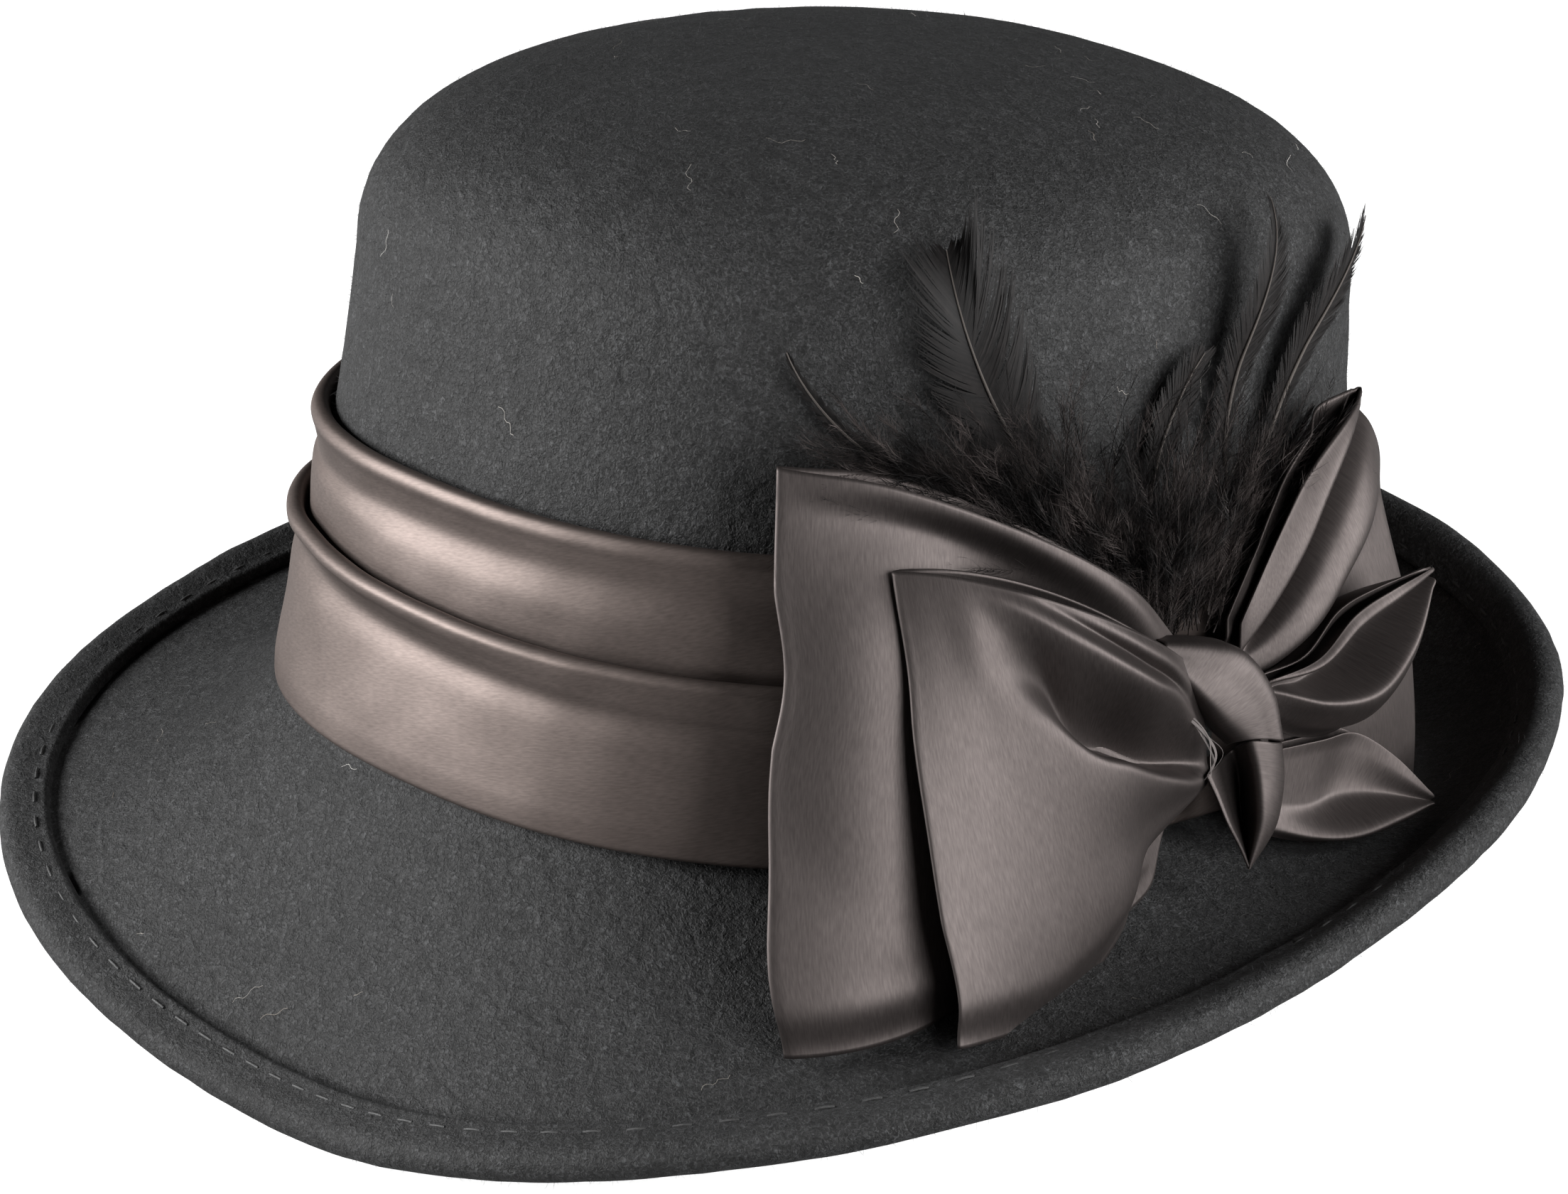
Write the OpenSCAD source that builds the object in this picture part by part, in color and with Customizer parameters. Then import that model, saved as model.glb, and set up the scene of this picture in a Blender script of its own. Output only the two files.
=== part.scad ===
// Felt bowler with a dipped front brim, a turned-up back, a pleated satin band,
// a satin bow and a spray of feathers on the wearer's left.
// Millimetres. +Z is up, the front of the hat is -Y and the wearer's left is +X.
// The origin is the centre of the head opening, at the line where crown meets brim.

/* [Crown] */
// Half width of the crown at the head line, outside the felt
crown_ax = 87; // [79:1:95]
// Half length of the crown at the head line, outside the felt
crown_ay = 100; // [91:1:109]
// Squareness of the head oval, 2 is a plain ellipse
oval_n = 2.35; // [2:0.05:2.8]
// Height of the crown above the head line
crown_h = 125.5; // [110:0.5:140]
// Height where the side wall turns into the dome
shoulder_z = 84.5; // [72:0.5:94]
// Width of the wall at the shoulder, as a part of the width at the head line
shoulder_taper = 0.94; // [0.88:0.01:0.97]
// Fullness of the dome, 2 is round and more is squarer
dome_n = 2.55; // [2:0.05:3]
// Thickness of the felt
felt_t = 2.6; // [1.8:0.1:3.4]

/* [Brim] */
// Width of the brim at the front, along the felt
brim_front_w = 66; // [54:1:76]
// Width of the brim at the back, along the felt
brim_back_w = 32; // [26:1:40]
// Mean pitch of the brim at the front, minus is down
pitch_front = -56; // [-60:1:-40]
// Mean pitch of the brim halfway between the front and the side
pitch_front_quarter = -30; // [-36:1:-22]
// Mean pitch of the brim at the side
pitch_side = -4.5; // [-10:0.5:4]
// Mean pitch of the brim halfway between the side and the back
pitch_back_quarter = 26; // [20:1:32]
// Mean pitch of the brim at the back
pitch_back = 53; // [44:1:60]
// How far the brim curls up across its width at the front
curl_front = 12; // [6:1:24]
// How far the brim curls up across its width at the back
curl_back = 60; // [46:1:66]
// Radius of the bend between crown and brim, on the upper side
root_r = 6; // [4:0.5:8]

/* [Hem] */
// Width of the flap that the hem folds back
hem_w = 7; // [5.5:0.5:10]
// Diameter of the wire in the hem
wire_d = 1.2; // [0.8:0.1:1.6]
// Number of stitches round the hem
hem_stitches = 120; // [60:1:150]
// Length of one hem stitch
hem_stitch_l = 3.4; // [2:0.1:4]
// Distance of the hem stitches from the cut edge
hem_stitch_inset = 2.2; // [1.5:0.1:3]
// Diameter of the sewing thread
thread_d = 0.6; // [0.4:0.05:0.8]

/* [Sweatband] */
// Height of the ribbon inside the head opening
sweatband_h = 26; // [20:1:32]
// Thickness of that ribbon
sweatband_t = 0.9; // [0.6:0.1:1.4]
// Number of stitches round the sweatband
sweatband_stitches = 64; // [30:1:80]
// Length of one sweatband stitch
sweatband_stitch_l = 3; // [2:0.1:4]

/* [Hatband] */
// Height of the satin band
band_h = 55.5; // [46:0.5:62]
// Height of the fold where the lower pleat overlaps the upper one
pleat_z = 34; // [28:1:40]
// How far the upper pleat stands off the felt
band_upper_t = 1.9; // [1.4:0.1:2.6]
// How far the lower pleat stands off the felt
band_lower_t = 3.8; // [3.2:0.1:4.6]

/* [Bow] */
// Angle of the knot from the front, towards the wearer's left
bow_angle = 89; // [83:1:95]
// Height of the middle of the knot
bow_z = 28; // [25:1:31]
// Thickness of the folded satin
satin_t = 0.9; // [0.7:0.1:1.2]
// Width of the knot
knot_w = 20; // [16:1:23]
// Height of the knot
knot_h = 26; // [22:1:30]
// Depth of the knot
knot_depth = 18; // [15:1:22]
// Width of the pointed tail below the knot
tail_w = 15; // [10:1:18]
// Thickness of the stiff pad behind the bow
bow_pad_t = 2; // [1.4:0.2:3]

/* [Feathers] */
// Thickness of a feather at its shaft
shaft_d = 1.3; // [1:0.1:1.6]
// Thickness of the patch that carries the quills
feather_pad_t = 1.2; // [0.8:0.1:1.8]
// Height of that patch
feather_pad_h = 9; // [7:0.5:11]
// Thickness of the tufts of down
tuft_depth = 8; // [6:0.5:10]
// How far the tufts lean out at the top
tuft_lean = 3; // [2:0.5:4]

/* [Fit] */
// Clearance between pieces that lie on each other
clear = 0.3; // [0.2:0.05:0.5]

/* [Hidden] */

felt_colour = [0.09, 0.09, 0.09];
satin_colour = [0.31, 0.27, 0.26];
feather_colour = [0.08, 0.07, 0.07];
thread_colour = [0.2, 0.2, 0.2];

// Steps round the oval
turns = 60;
fold_r = wire_d / 2 + clear / 2;
hem_lift = 2 * fold_r;
// Where pieces on the band start, measured out from the felt
band_face = clear + band_lower_t;
knot_back = band_face + bow_pad_t + 2 * clear;
knot_mid = knot_back + knot_depth / 2;
loop_back_d = knot_back + 3.6;
loop_front_d = knot_back + 11;
// The feathers stand above both the band and the bow
feather_z = max(band_h + clear + 1, bow_z + 25);
quill_d = feather_pad_t + 2 * clear + shaft_d / 2;

// Small vector helpers
function unit(v) = v / norm(v);
function mix(a, b, t) = a + (b - a) * t;
function flat(rows) = [for (row = rows) each row];
function bend(a, m, b, t) = let (c = 2 * m - (a + b) / 2)
    mix(mix(a, c, t), mix(c, b, t), t);

// The head oval. Angles run from the front towards the wearer's left.
function oval_reach(a) = pow(pow(abs(cos(a)), oval_n) + pow(abs(sin(a)), oval_n), -1 / oval_n);
function oval(a, ax, ay) = oval_reach(a) * [ax * sin(a), -ay * cos(a)];
function oval_out(a) = unit([sin(a) / crown_ax, -cos(a) / crown_ay]);

// Width of the crown at a height, as a part of its width at the head line
function crown_width(z) = z <= root_r ? 1
    : z < shoulder_z ? mix(1, shoulder_taper, (z - root_r) / (shoulder_z - root_r))
    : shoulder_taper * pow(max(0, 1 - pow((z - shoulder_z) / (crown_h - shoulder_z), dome_n)), 1 / dome_n);

// A point d outside the crown's surface at a height, or inside it with minus d
function wall(a, z, d) = let (p = oval(a, crown_ax, crown_ay) * crown_width(z) + oval_out(a) * d)
    [p.x, p.y, z];

// Pitch, curl and width of the brim round the hat
pitches = [pitch_front, pitch_front_quarter, pitch_side, pitch_back_quarter, pitch_back];
function folded(a) = let (b = (a % 360 + 360) % 360) b > 180 ? 360 - b : b;
function station(i) = pitches[i < 0 ? -i : i > 4 ? 8 - i : i];
function brim_pitch(a) = let (s = min(folded(a) / 45, 3.9999), i = floor(s), t = s - i,
    m0 = (station(i + 1) - station(i - 1)) / 2, m1 = (station(i + 2) - station(i)) / 2)
    (2 * t^3 - 3 * t^2 + 1) * station(i) + (t^3 - 2 * t^2 + t) * m0
    + (3 * t^2 - 2 * t^3) * station(i + 1) + (t^3 - t^2) * m1;
function between(front, back, a) = mix(front, back, (1 - cos(a)) / 2);
function brim_curl(a) = between(curl_front, curl_back, a);
function brim_w(a) = between(brim_front_w, brim_back_w, a);

// The brim's upper face at angle a and distance s from the root, lifted by h: [d, z]
function root_pitch(a) = brim_pitch(a) - brim_curl(a) / 2;
function brim_slope(a, s) = root_pitch(a) + brim_curl(a) * s / brim_w(a);
function brim_face(a, s, h) = let (r = brim_w(a) / (brim_curl(a) * PI / 180), p0 = root_pitch(a),
    p = brim_slope(a, s))
    [root_r * (1 + sin(p0)), root_r * (1 - cos(p0))] + r * [sin(p) - sin(p0), cos(p0) - cos(p)]
    + h * [-sin(p), cos(p)];
function root_face(a, part, h) = let (p = mix(-90, root_pitch(a), part))
    [root_r + (root_r - h) * sin(p), root_r - (root_r - h) * cos(p)];
function hem_nose(a, turn, r) = let (p = brim_slope(a, brim_w(a)))
    brim_face(a, brim_w(a), fold_r) + r * [sin(p + turn), -cos(p + turn)];
function off_oval(a, dz) = let (p = oval(a, crown_ax, crown_ay) + oval_out(a) * dz.x) [p.x, p.y, dz.y];
// The same spot as [angle, height, distance from the crown]
function brim_spot(a, s, h) = let (p = brim_face(a, s, h)) [a, p.y, p.x];

// Triangles over a grid of points. Columns can close round, and rows too.
function grid_faces(rows, cols, round_cols, round_rows = false, base = 0) =
    [for (r = [0 : round_rows ? rows - 1 : rows - 2], c = [0 : round_cols ? cols - 1 : cols - 2])
        let (a = base + r * cols + c, b = base + r * cols + (c + 1) % cols,
            e = base + ((r + 1) % rows) * cols + c, f = base + ((r + 1) % rows) * cols + (c + 1) % cols)
        each [[a, b, f], [a, f, e]]];
function turned(faces) = [for (f = faces) [f[0], f[2], f[1]]];
function fan(tip, start, n) = [for (c = [0 : n - 1]) [tip, start + (c + 1) % n, start + c]];

// A closed ring that follows a list of outlines
module ring_solid(outlines) {
    polyhedron(flat(outlines), grid_faces(len(outlines), len(outlines[0]), true, true));
}

// A tapering solid through a list of outlines, closed by a tip at each end
module stalk_solid(outlines, first_tip, last_tip) {
    n = len(outlines[0]);
    count = len(outlines) * n;
    polyhedron(concat(flat(outlines), [first_tip, last_tip]),
        concat(grid_faces(len(outlines), n, true), fan(count, 0, n),
            turned(fan(count + 1, count - n, n))));
}

// A sheet of thickness t either side of a grid of points
function grid_normal(g, r, c) = unit(cross(
    g[min(r + 1, len(g) - 1)][c] - g[max(r - 1, 0)][c],
    g[r][min(c + 1, len(g[0]) - 1)] - g[r][max(c - 1, 0)]));
function shifted(g, h) = [for (r = [0 : len(g) - 1]) [for (c = [0 : len(g[0]) - 1])
    g[r][c] + h * grid_normal(g, r, c)]];
function border(rows, cols) = concat([for (c = [0 : cols - 1]) c],
    [for (r = [1 : rows - 1]) r * cols + cols - 1],
    [for (c = [cols - 2 : -1 : 0]) (rows - 1) * cols + c],
    [for (r = [rows - 2 : -1 : 1]) r * cols]);
module sheet_solid(g, t) {
    rows = len(g);
    cols = len(g[0]);
    count = rows * cols;
    rim = border(rows, cols);
    rim_n = len(rim);
    walls = [for (k = [0 : rim_n - 1]) let (a = rim[k], b = rim[(k + 1) % rim_n])
        each [[a, a + count, b + count], [a, b + count, b]]];
    polyhedron(concat(flat(shifted(g, t / 2)), flat(shifted(g, -t / 2))),
        concat(grid_faces(rows, cols, false), turned(grid_faces(rows, cols, false, false, count)), walls));
}

// A short straight thread between two points
module stitch(a, b) {
    v = b - a;
    translate(a)
        rotate([0, acos(v.z / norm(v)), atan2(v.y, v.x)])
            cylinder(d = thread_d, h = norm(v), $fn = 8);
}

// One row of felt, from the outside of the dome round the hem to the inside of the dome
dome_steps = [80, 68, 56, 43, 29, 14];
function dome_ring(rise, inset) = [shoulder_taper * pow(cos(rise), 2 / dome_n),
    shoulder_z + (crown_h - inset - shoulder_z) * pow(sin(rise), 2 / dome_n)];
function crown_ring(width, z, inset) = [for (i = [0 : turns - 1])
    let (p = oval(i * 360 / turns, crown_ax - inset, crown_ay - inset) * width) [p.x, p.y, z]];
function dome_rows(inset) = [for (rise = dome_steps) let (w = dome_ring(rise, inset))
    crown_ring(w[0], w[1], inset)];
function wall_rows(inset) = [for (t = [1, 0.66, 0.33]) let (z = mix(root_r, shoulder_z, t))
    crown_ring(crown_width(z), z, inset)];
function round_row(f) = [for (i = [0 : turns - 1]) let (a = i * 360 / turns) off_oval(a, f(a))];
function brim_row(part, h) = round_row(function (a) brim_face(a, part * (brim_w(a) - hem_w), h));
function hem_row(back, h) = round_row(function (a) brim_face(a, brim_w(a) - back * hem_w, h));
function root_rows(parts, h) = [for (p = parts) round_row(function (a) root_face(a, p, h))];
function nose_rows(turn_list, r) = [for (t = turn_list) round_row(function (a) hem_nose(a, t, r))];

module felt_body() {
    rows = concat(dome_rows(0), wall_rows(0), root_rows([0, 0.35, 0.7], 0),
        [for (p = [0, 0.33, 0.67]) brim_row(p, 0)], [hem_row(1, 0), hem_row(0, 0)],
        nose_rows([60, 120], fold_r), [hem_row(0, hem_lift), hem_row(1, hem_lift)],
        [hem_row(1, hem_lift + felt_t), hem_row(0.5, hem_lift + felt_t), hem_row(0, hem_lift + felt_t)],
        nose_rows([135, 90, 45], fold_r + felt_t), [hem_row(0, -felt_t), hem_row(0.5, -felt_t)],
        [for (p = [0.9, 0.5, 0]) brim_row(p, -felt_t)], root_rows([0.7, 0.35, 0], -felt_t),
        [for (i = [2, 1, 0]) wall_rows(felt_t)[i]],
        [for (i = [len(dome_steps) - 1 : -1 : 0]) dome_rows(felt_t)[i]]);
    color(felt_colour) stalk_solid(rows, [0, 0, crown_h], [0, 0, crown_h - felt_t]);
}

// Wire in the nose of the hem
module brim_wire() {
    color("dimgray") ring_solid([for (i = [0 : turns - 1]) let (a = i * 360 / turns)
        [for (t = [0 : 60 : 300]) off_oval(a, hem_nose(a, t, wire_d / 2))]]);
}

module hem_stitching() {
    lift = hem_lift + felt_t + thread_d / 2 + clear;
    pitch_a = 360 / hem_stitches;
    color(thread_colour) for (i = [0 : hem_stitches - 1]) {
        a = i * pitch_a;
        start = off_oval(a, brim_face(a, brim_w(a) - hem_w + hem_stitch_inset, lift));
        next_a = a + pitch_a;
        ahead = off_oval(next_a, brim_face(next_a, brim_w(next_a) - hem_w + hem_stitch_inset, lift));
        stitch(start, start + hem_stitch_l * unit(ahead - start));
    }
}

// Ribbon sewn round the inside of the head opening
module sweatband() {
    outer = felt_t + clear;
    inner = outer + sweatband_t;
    levels = [1, 9, sweatband_h];
    color([0.07, 0.07, 0.07]) ring_solid([for (i = [0 : turns - 1]) let (a = i * 360 / turns)
        concat([for (z = levels) wall(a, z, -outer)],
            [for (k = [len(levels) - 1 : -1 : 0]) wall(a, levels[k], -inner)])]);
}

module sweatband_stitching() {
    d = -(felt_t + clear + sweatband_t + clear + thread_d / 2);
    pitch_a = 360 / sweatband_stitches;
    z = 4;
    color(thread_colour) for (i = [0 : sweatband_stitches - 1]) {
        start = wall(i * pitch_a, z, d);
        ahead = wall((i + 1) * pitch_a, z, d);
        stitch(start, start + sweatband_stitch_l * unit(ahead - start));
    }
}

// Draped band: the lower pleat overlaps the upper one, and the top edge is rolled
module satin_hatband() {
    foot = root_r - 1;
    outline = [[foot * 0.55, 1.9], [foot, 1.1], [band_lower_t + 0.9, 4], [band_lower_t + 0.1, 11],
        [band_lower_t - 0.4, pleat_z - 12], [band_lower_t, pleat_z - 4], [band_lower_t - 0.3, pleat_z - 0.5],
        [band_upper_t + 0.6, pleat_z + 0.4], [band_upper_t - 0.2, pleat_z - 0.6],
        [band_upper_t - 0.3, pleat_z + 5],
        [band_upper_t - 0.4, band_h - 7], [band_upper_t, band_h - 3], [band_upper_t - 0.3, band_h - 0.6],
        [band_upper_t - 0.9, band_h], [0, band_h - 1], [0, pleat_z], [0, root_r]];
    color(satin_colour) ring_solid([for (i = [0 : turns - 1])
        [for (p = outline) wall(i * 360 / turns, p.y, p.x + clear)]]);
}

// Stiff pad between the band and the bow
module bow_pad() {
    half_a = 5;
    half_z = 11;
    g = [for (a = [-half_a : half_a : half_a]) [for (z = [-half_z : half_z : half_z])
        wall(bow_angle + a, bow_z + z, band_face + clear + bow_pad_t / 2)]];
    color("dimgray") sheet_solid(g, bow_pad_t);
}

// A loop of ribbon from the knot out to a fold and back. Each edge is three spots of
// [angle, height, distance from the crown]: at the knot, midway and at the fold.
// The front of the loop puffs out, and a groove runs along it from the knot.
across_steps = 8;
out_steps = [0, 0.1, 0.24, 0.4, 0.56, 0.72, 0.86, 0.95];
fold_turns = [30, 60, 90, 120, 150];
loop_run = concat([for (e = out_steps) [e, 1]],
    [for (t = fold_turns) [mix(0.97, 1, sin(t)), cos(t)]],
    [for (k = [len(out_steps) - 1 : -1 : 0]) [out_steps[k], -1]]);
function groove_at(v, e, depth, line) = depth * exp(-pow((v - mix(0.5, line, e)) / mix(0.1, 0.22, e), 2))
    * sin(180 * pow(e, 0.6));
function loop_grid(top, foot, half_gap, puff, depth, line) = [for (run = loop_run)
    [for (k = [0 : across_steps]) let (v = k / across_steps, e = run[0], side = run[1],
        spot = mix(bend(foot[0], foot[1], foot[2], e), bend(top[0], top[1], top[2], e), v),
        swell = puff * sin(180 * e),
        front = (half_gap + swell) * (1 - groove_at(v, e, depth, line)),
        back = half_gap + 0.1 * swell)
        wall(spot[0], spot[1], spot[2] + side * (side > 0 ? front : back))]];
module bow_loop(top, foot, half_gap, puff, depth, line) {
    color(satin_colour) sheet_solid(loop_grid(top, foot, half_gap, puff, depth, line), satin_t);
}
// A spot given from the middle of the knot, and the angle beside the knot where a loop starts
function from_knot(da, dz, d) = [bow_angle + da, bow_z + dz, d];
function knot_half_w(d) = knot_w / 2 * sqrt(1 - pow((d - knot_mid) / (knot_depth / 2), 2));
function beside_knot(d, half_gap) = let (near = d + sign(knot_mid - d) * (half_gap + satin_t / 2))
    (knot_half_w(near) + clear) / (crown_ax + d) * 180 / PI;

module bow_back_loop_left() {
    half_gap = 1.4;
    neck = -beside_knot(loop_back_d, half_gap);
    bow_loop([from_knot(neck, 9, loop_back_d), from_knot(-27, 38, 12), from_knot(-46.5, 45, 8)],
        [from_knot(neck, -13, loop_back_d), brim_spot(bow_angle - 25, 28, 4),
            brim_spot(bow_angle - 43.5, 40, 4)],
        half_gap, 2, 0.5, 0.4);
}

module bow_front_loop_left() {
    half_gap = 1.6;
    neck = -beside_knot(loop_front_d, half_gap);
    bow_loop([from_knot(neck, 7, loop_front_d), from_knot(-22.5, 27, 22), from_knot(-36, 31.5, 20)],
        [from_knot(neck, -10, loop_front_d), from_knot(-15, -28.5, 29),
            brim_spot(bow_angle - 31, 46, 4)],
        half_gap, 8, 0.85, 0.86);
}

module bow_upper_loop_right() {
    half_gap = 1.4;
    neck = beside_knot(loop_back_d, half_gap);
    bow_loop([from_knot(neck, 11, loop_back_d), from_knot(13.5, 32, 12), from_knot(26.8, 46.5, 8)],
        [from_knot(neck, -6, loop_back_d), brim_spot(bow_angle + 17, 14, 7),
            brim_spot(bow_angle + 26.5, 19, 4)],
        half_gap, 3, 0.8, 0.6);
}

module bow_middle_loop_right() {
    half_gap = 1.4;
    neck = beside_knot(loop_front_d, half_gap) + 0.3;
    bow_loop([from_knot(neck, 6, loop_front_d), from_knot(12.5, 14, 25), from_knot(22.5, 18, 28)],
        [from_knot(neck, -3, loop_front_d), from_knot(14, 0, 26), from_knot(22.5, 13, 28)],
        half_gap, 2, 0.6, 0.6);
}

module bow_lower_loop_right() {
    half_gap = 1.2;
    neck = beside_knot(loop_front_d, half_gap);
    bow_loop([from_knot(neck, -6, loop_front_d), from_knot(14, -13, 24),
            brim_spot(bow_angle + 20.5, 30, 5.5)],
        [from_knot(neck, -12, loop_front_d), brim_spot(bow_angle + 13, 19, 4),
            brim_spot(bow_angle + 19.5, 30, 3.5)],
        half_gap, 2, 0.5, 0.5);
}

// Rounded block in hat coordinates: half sizes are along the wall, up and outwards,
// and the block leans out by lean at its top and in by as much at its foot
blob_levels = [-70, -47, -24, 0, 24, 47, 70];
function blob_spot(middle, half, lean, level, turn) = let (r = pow(cos(level), 0.75))
    wall(middle[0] + half[0] * r * cos(turn) / (crown_ax + middle[2]) * 180 / PI,
        middle[1] + half[1] * sin(level), middle[2] + half[2] * r * sin(turn) + lean * sin(level));
module blob(middle, half, lean) {
    stalk_solid([for (level = blob_levels) [for (turn = [0 : 20 : 340])
        blob_spot(middle, half, lean, level, turn)]],
        blob_spot(middle, half, lean, -90, 0), blob_spot(middle, half, lean, 90, 0));
}

module bow_knot() {
    color(satin_colour) blob([bow_angle, bow_z, knot_mid], [knot_w, knot_h, knot_depth] / 2, 0);
}

// Pointed end of the knot strip, from under the knot to just above the brim
module bow_tail() {
    top = [bow_angle + 1, bow_z - knot_h / 2 - clear - satin_t / 2, knot_mid];
    tip = brim_spot(bow_angle + 2.5, 15, 2.5);
    half_a = tail_w / 2 / (crown_ax + knot_mid) * 180 / PI;
    g = [for (t = [0, 0.35, 0.7, 0.96]) [for (v = [-1, -0.5, 0, 0.5, 1]) let (spot = mix(top, tip, t))
        wall(spot[0] + v * half_a * (1 - t), spot[1], spot[2] - 2 * v * v)]];
    color(satin_colour) sheet_solid(g, satin_t);
}

// Felt patch on the crown above the band
module feather_pad() {
    g = [for (i = [0 : 10]) [for (t = [0, 0.5, 1])
        wall(bow_angle + mix(-22, 16, i / 10), feather_z + feather_pad_h * t, clear + feather_pad_t / 2)]];
    color(felt_colour) sheet_solid(g, feather_pad_t);
}

// A feather: quill spots are [angle, height above the patch, distance from the crown] at the
// foot, midway and at the tip, and the vane has its own half width either side
plume_steps = [0.02, 0.1, 0.2, 0.32, 0.46, 0.6, 0.74, 0.86, 0.95];
function quill(spots, t) = let (s = bend(spots[0], spots[1], spots[2], t))
    wall(bow_angle + s[0], feather_z + s[1], s[2]);
function vane(t, bare) = t < bare ? 0.06
    : 0.06 + 0.94 * pow(sin(180 * pow((t - bare) / (1 - bare), 0.75)), 0.8);
function plume_ring(spots, left, right, bare, t) = let (p = quill(spots, t),
    run = unit(quill(spots, t + 0.02) - quill(spots, t - 0.02)),
    out2 = oval_out(bow_angle + bend(spots[0], spots[1], spots[2], t)[0]),
    across = unit(cross([out2.x, out2.y, 0], run)),
    lift = cross(run, across) * shaft_d / 2,
    to_left = -across * left * vane(t, bare),
    to_right = across * right * vane(t, bare))
    [p + to_left, p + 0.4 * to_left + 0.7 * lift, p + lift, p + 0.4 * to_right + 0.7 * lift,
        p + to_right, p + 0.4 * to_right - 0.7 * lift, p - lift, p + 0.4 * to_left - 0.7 * lift];
module plume(spots, left, right, bare) {
    color(feather_colour) stalk_solid([for (t = plume_steps) plume_ring(spots, left, right, bare, t)],
        quill(spots, 0), quill(spots, 1));
}

module plume_wisp() {
    plume([[-19, 4, quill_d], [-36.5, 17, quill_d + 0.2], [-46.5, 35, quill_d + 0.6]], 2, 2, 0.2);
}
module plume_broad() {
    plume([[-15, 4, quill_d], [-25.5, 29, quill_d + 1], [-30.5, 52, quill_d + 3.5]], 14, 10, 0.1);
}
module plume_tall() {
    plume([[8, 4, quill_d], [8, 30, quill_d + 2.5], [16, 55, quill_d + 9]], 7, 6, 0.15);
}
module plume_right() {
    plume([[13, 4, quill_d], [21.5, 29, quill_d + 1.4], [36, 46, quill_d + 5]], 6, 7, 0.15);
}
module plume_small() {
    plume([[-4, 4, quill_d], [-2, 18, quill_d + 0.5], [2, 31, quill_d + 2]], 7, 6, 0.1);
}
module plume_low() {
    plume([[15, 2, quill_d], [17.5, 9, quill_d + 1.9], [21, 16, quill_d + 2.8]], 2.5, 2.5, 0.2);
}

// Tufts of down over the foot of the feathers. A tuft is seated a little below its middle,
// on the patch or, with an extra lift, on a feather.
module tuft(da, dz, half_along, half_up, lift) {
    seat_level = -36;
    seat_depth = tuft_depth / 2 * pow(cos(seat_level), 0.75);
    middle_d = 3 * clear + feather_pad_t + lift + seat_depth - tuft_lean * sin(seat_level);
    color(feather_colour) blob([bow_angle + da, feather_z + dz, middle_d],
        [half_along, half_up, tuft_depth / 2], tuft_lean);
}
module marabou_left() tuft(-23, 16, 8, 9, 2 * clear);
module marabou_centre() tuft(-9.5, 11, 9, 16, 0);
module marabou_right() tuft(2, 10, 8, 15, 0);

felt_body();
brim_wire();
hem_stitching();
sweatband();
sweatband_stitching();
satin_hatband();
bow_pad();
bow_back_loop_left();
bow_front_loop_left();
bow_upper_loop_right();
bow_middle_loop_right();
bow_lower_loop_right();
bow_knot();
bow_tail();
feather_pad();
plume_wisp();
plume_broad();
plume_tall();
plume_right();
plume_small();
plume_low();
marabou_left();
marabou_centre();
marabou_right();
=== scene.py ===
"""Looks of a felt bowler with a dipped brim, a pleated satin band, a satin bow and feathers.

Lengths are millimetres until a mesh is made, which turns them into metres. Angles on the hat are degrees
from its front (-Y) towards the wearer's left (+X). A spot is (angle, height, distance off the crown).
"""
import math

import bpy
import numpy as np
from mathutils import Matrix, Vector


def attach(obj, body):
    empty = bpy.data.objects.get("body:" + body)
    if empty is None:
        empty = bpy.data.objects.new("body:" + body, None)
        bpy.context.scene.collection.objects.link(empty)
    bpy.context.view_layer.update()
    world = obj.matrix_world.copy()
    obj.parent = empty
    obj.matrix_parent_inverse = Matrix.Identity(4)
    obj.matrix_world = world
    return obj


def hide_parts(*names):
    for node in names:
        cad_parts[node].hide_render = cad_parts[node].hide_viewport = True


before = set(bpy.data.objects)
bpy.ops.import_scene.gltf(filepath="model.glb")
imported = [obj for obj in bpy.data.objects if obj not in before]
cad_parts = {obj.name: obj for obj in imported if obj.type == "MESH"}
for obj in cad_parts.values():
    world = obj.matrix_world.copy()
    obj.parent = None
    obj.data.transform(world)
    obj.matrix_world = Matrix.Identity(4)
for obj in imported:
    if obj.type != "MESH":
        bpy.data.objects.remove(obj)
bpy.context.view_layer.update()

MM = 0.001
IMAGE_W = 2207

# Crown and brim, as in the solids
CROWN_AX = 87.0
CROWN_AY = 100.0
OVAL_N = 2.35
CROWN_H = 125.5
SHOULDER_Z = 84.5
SHOULDER_TAPER = 0.94
DOME_N = 2.55
FELT_T = 2.6
BRIM_FRONT_W = 66.0
BRIM_BACK_W = 32.0
BRIM_PITCHES = [-56.0, -30.0, -4.5, 26.0, 53.0]
CURL_FRONT = 12.0
CURL_BACK = 60.0
ROOT_R = 6.0
HEM_W = 7.0
FOLD_R = 0.75

# Trim
BAND_H = 55.5
BOW_ANGLE = 89.0
FEATHER_Z = 56.8
QUILL_D = 2.45
SHAFT_D = 1.3


# The hat's surfaces
def mix(a, b, t):
    return a + (b - a) * t


def smooth(t):
    t = np.clip(t, 0.0, 1.0)
    return t * t * (3.0 - 2.0 * t)


def hermite(start, leaving, end, arriving, t):
    """Smooth values from a start to an end, with given slopes at both."""
    return ((2 * t**3 - 3 * t**2 + 1) * start + (t**3 - 2 * t**2 + t) * leaving
            + (3 * t**2 - 2 * t**3) * end + (t**3 - t**2) * arriving)


def unit(vectors):
    """Vectors of length 1."""
    return vectors / np.maximum(np.linalg.norm(vectors, axis=-1, keepdims=True), 1e-9)


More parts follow.
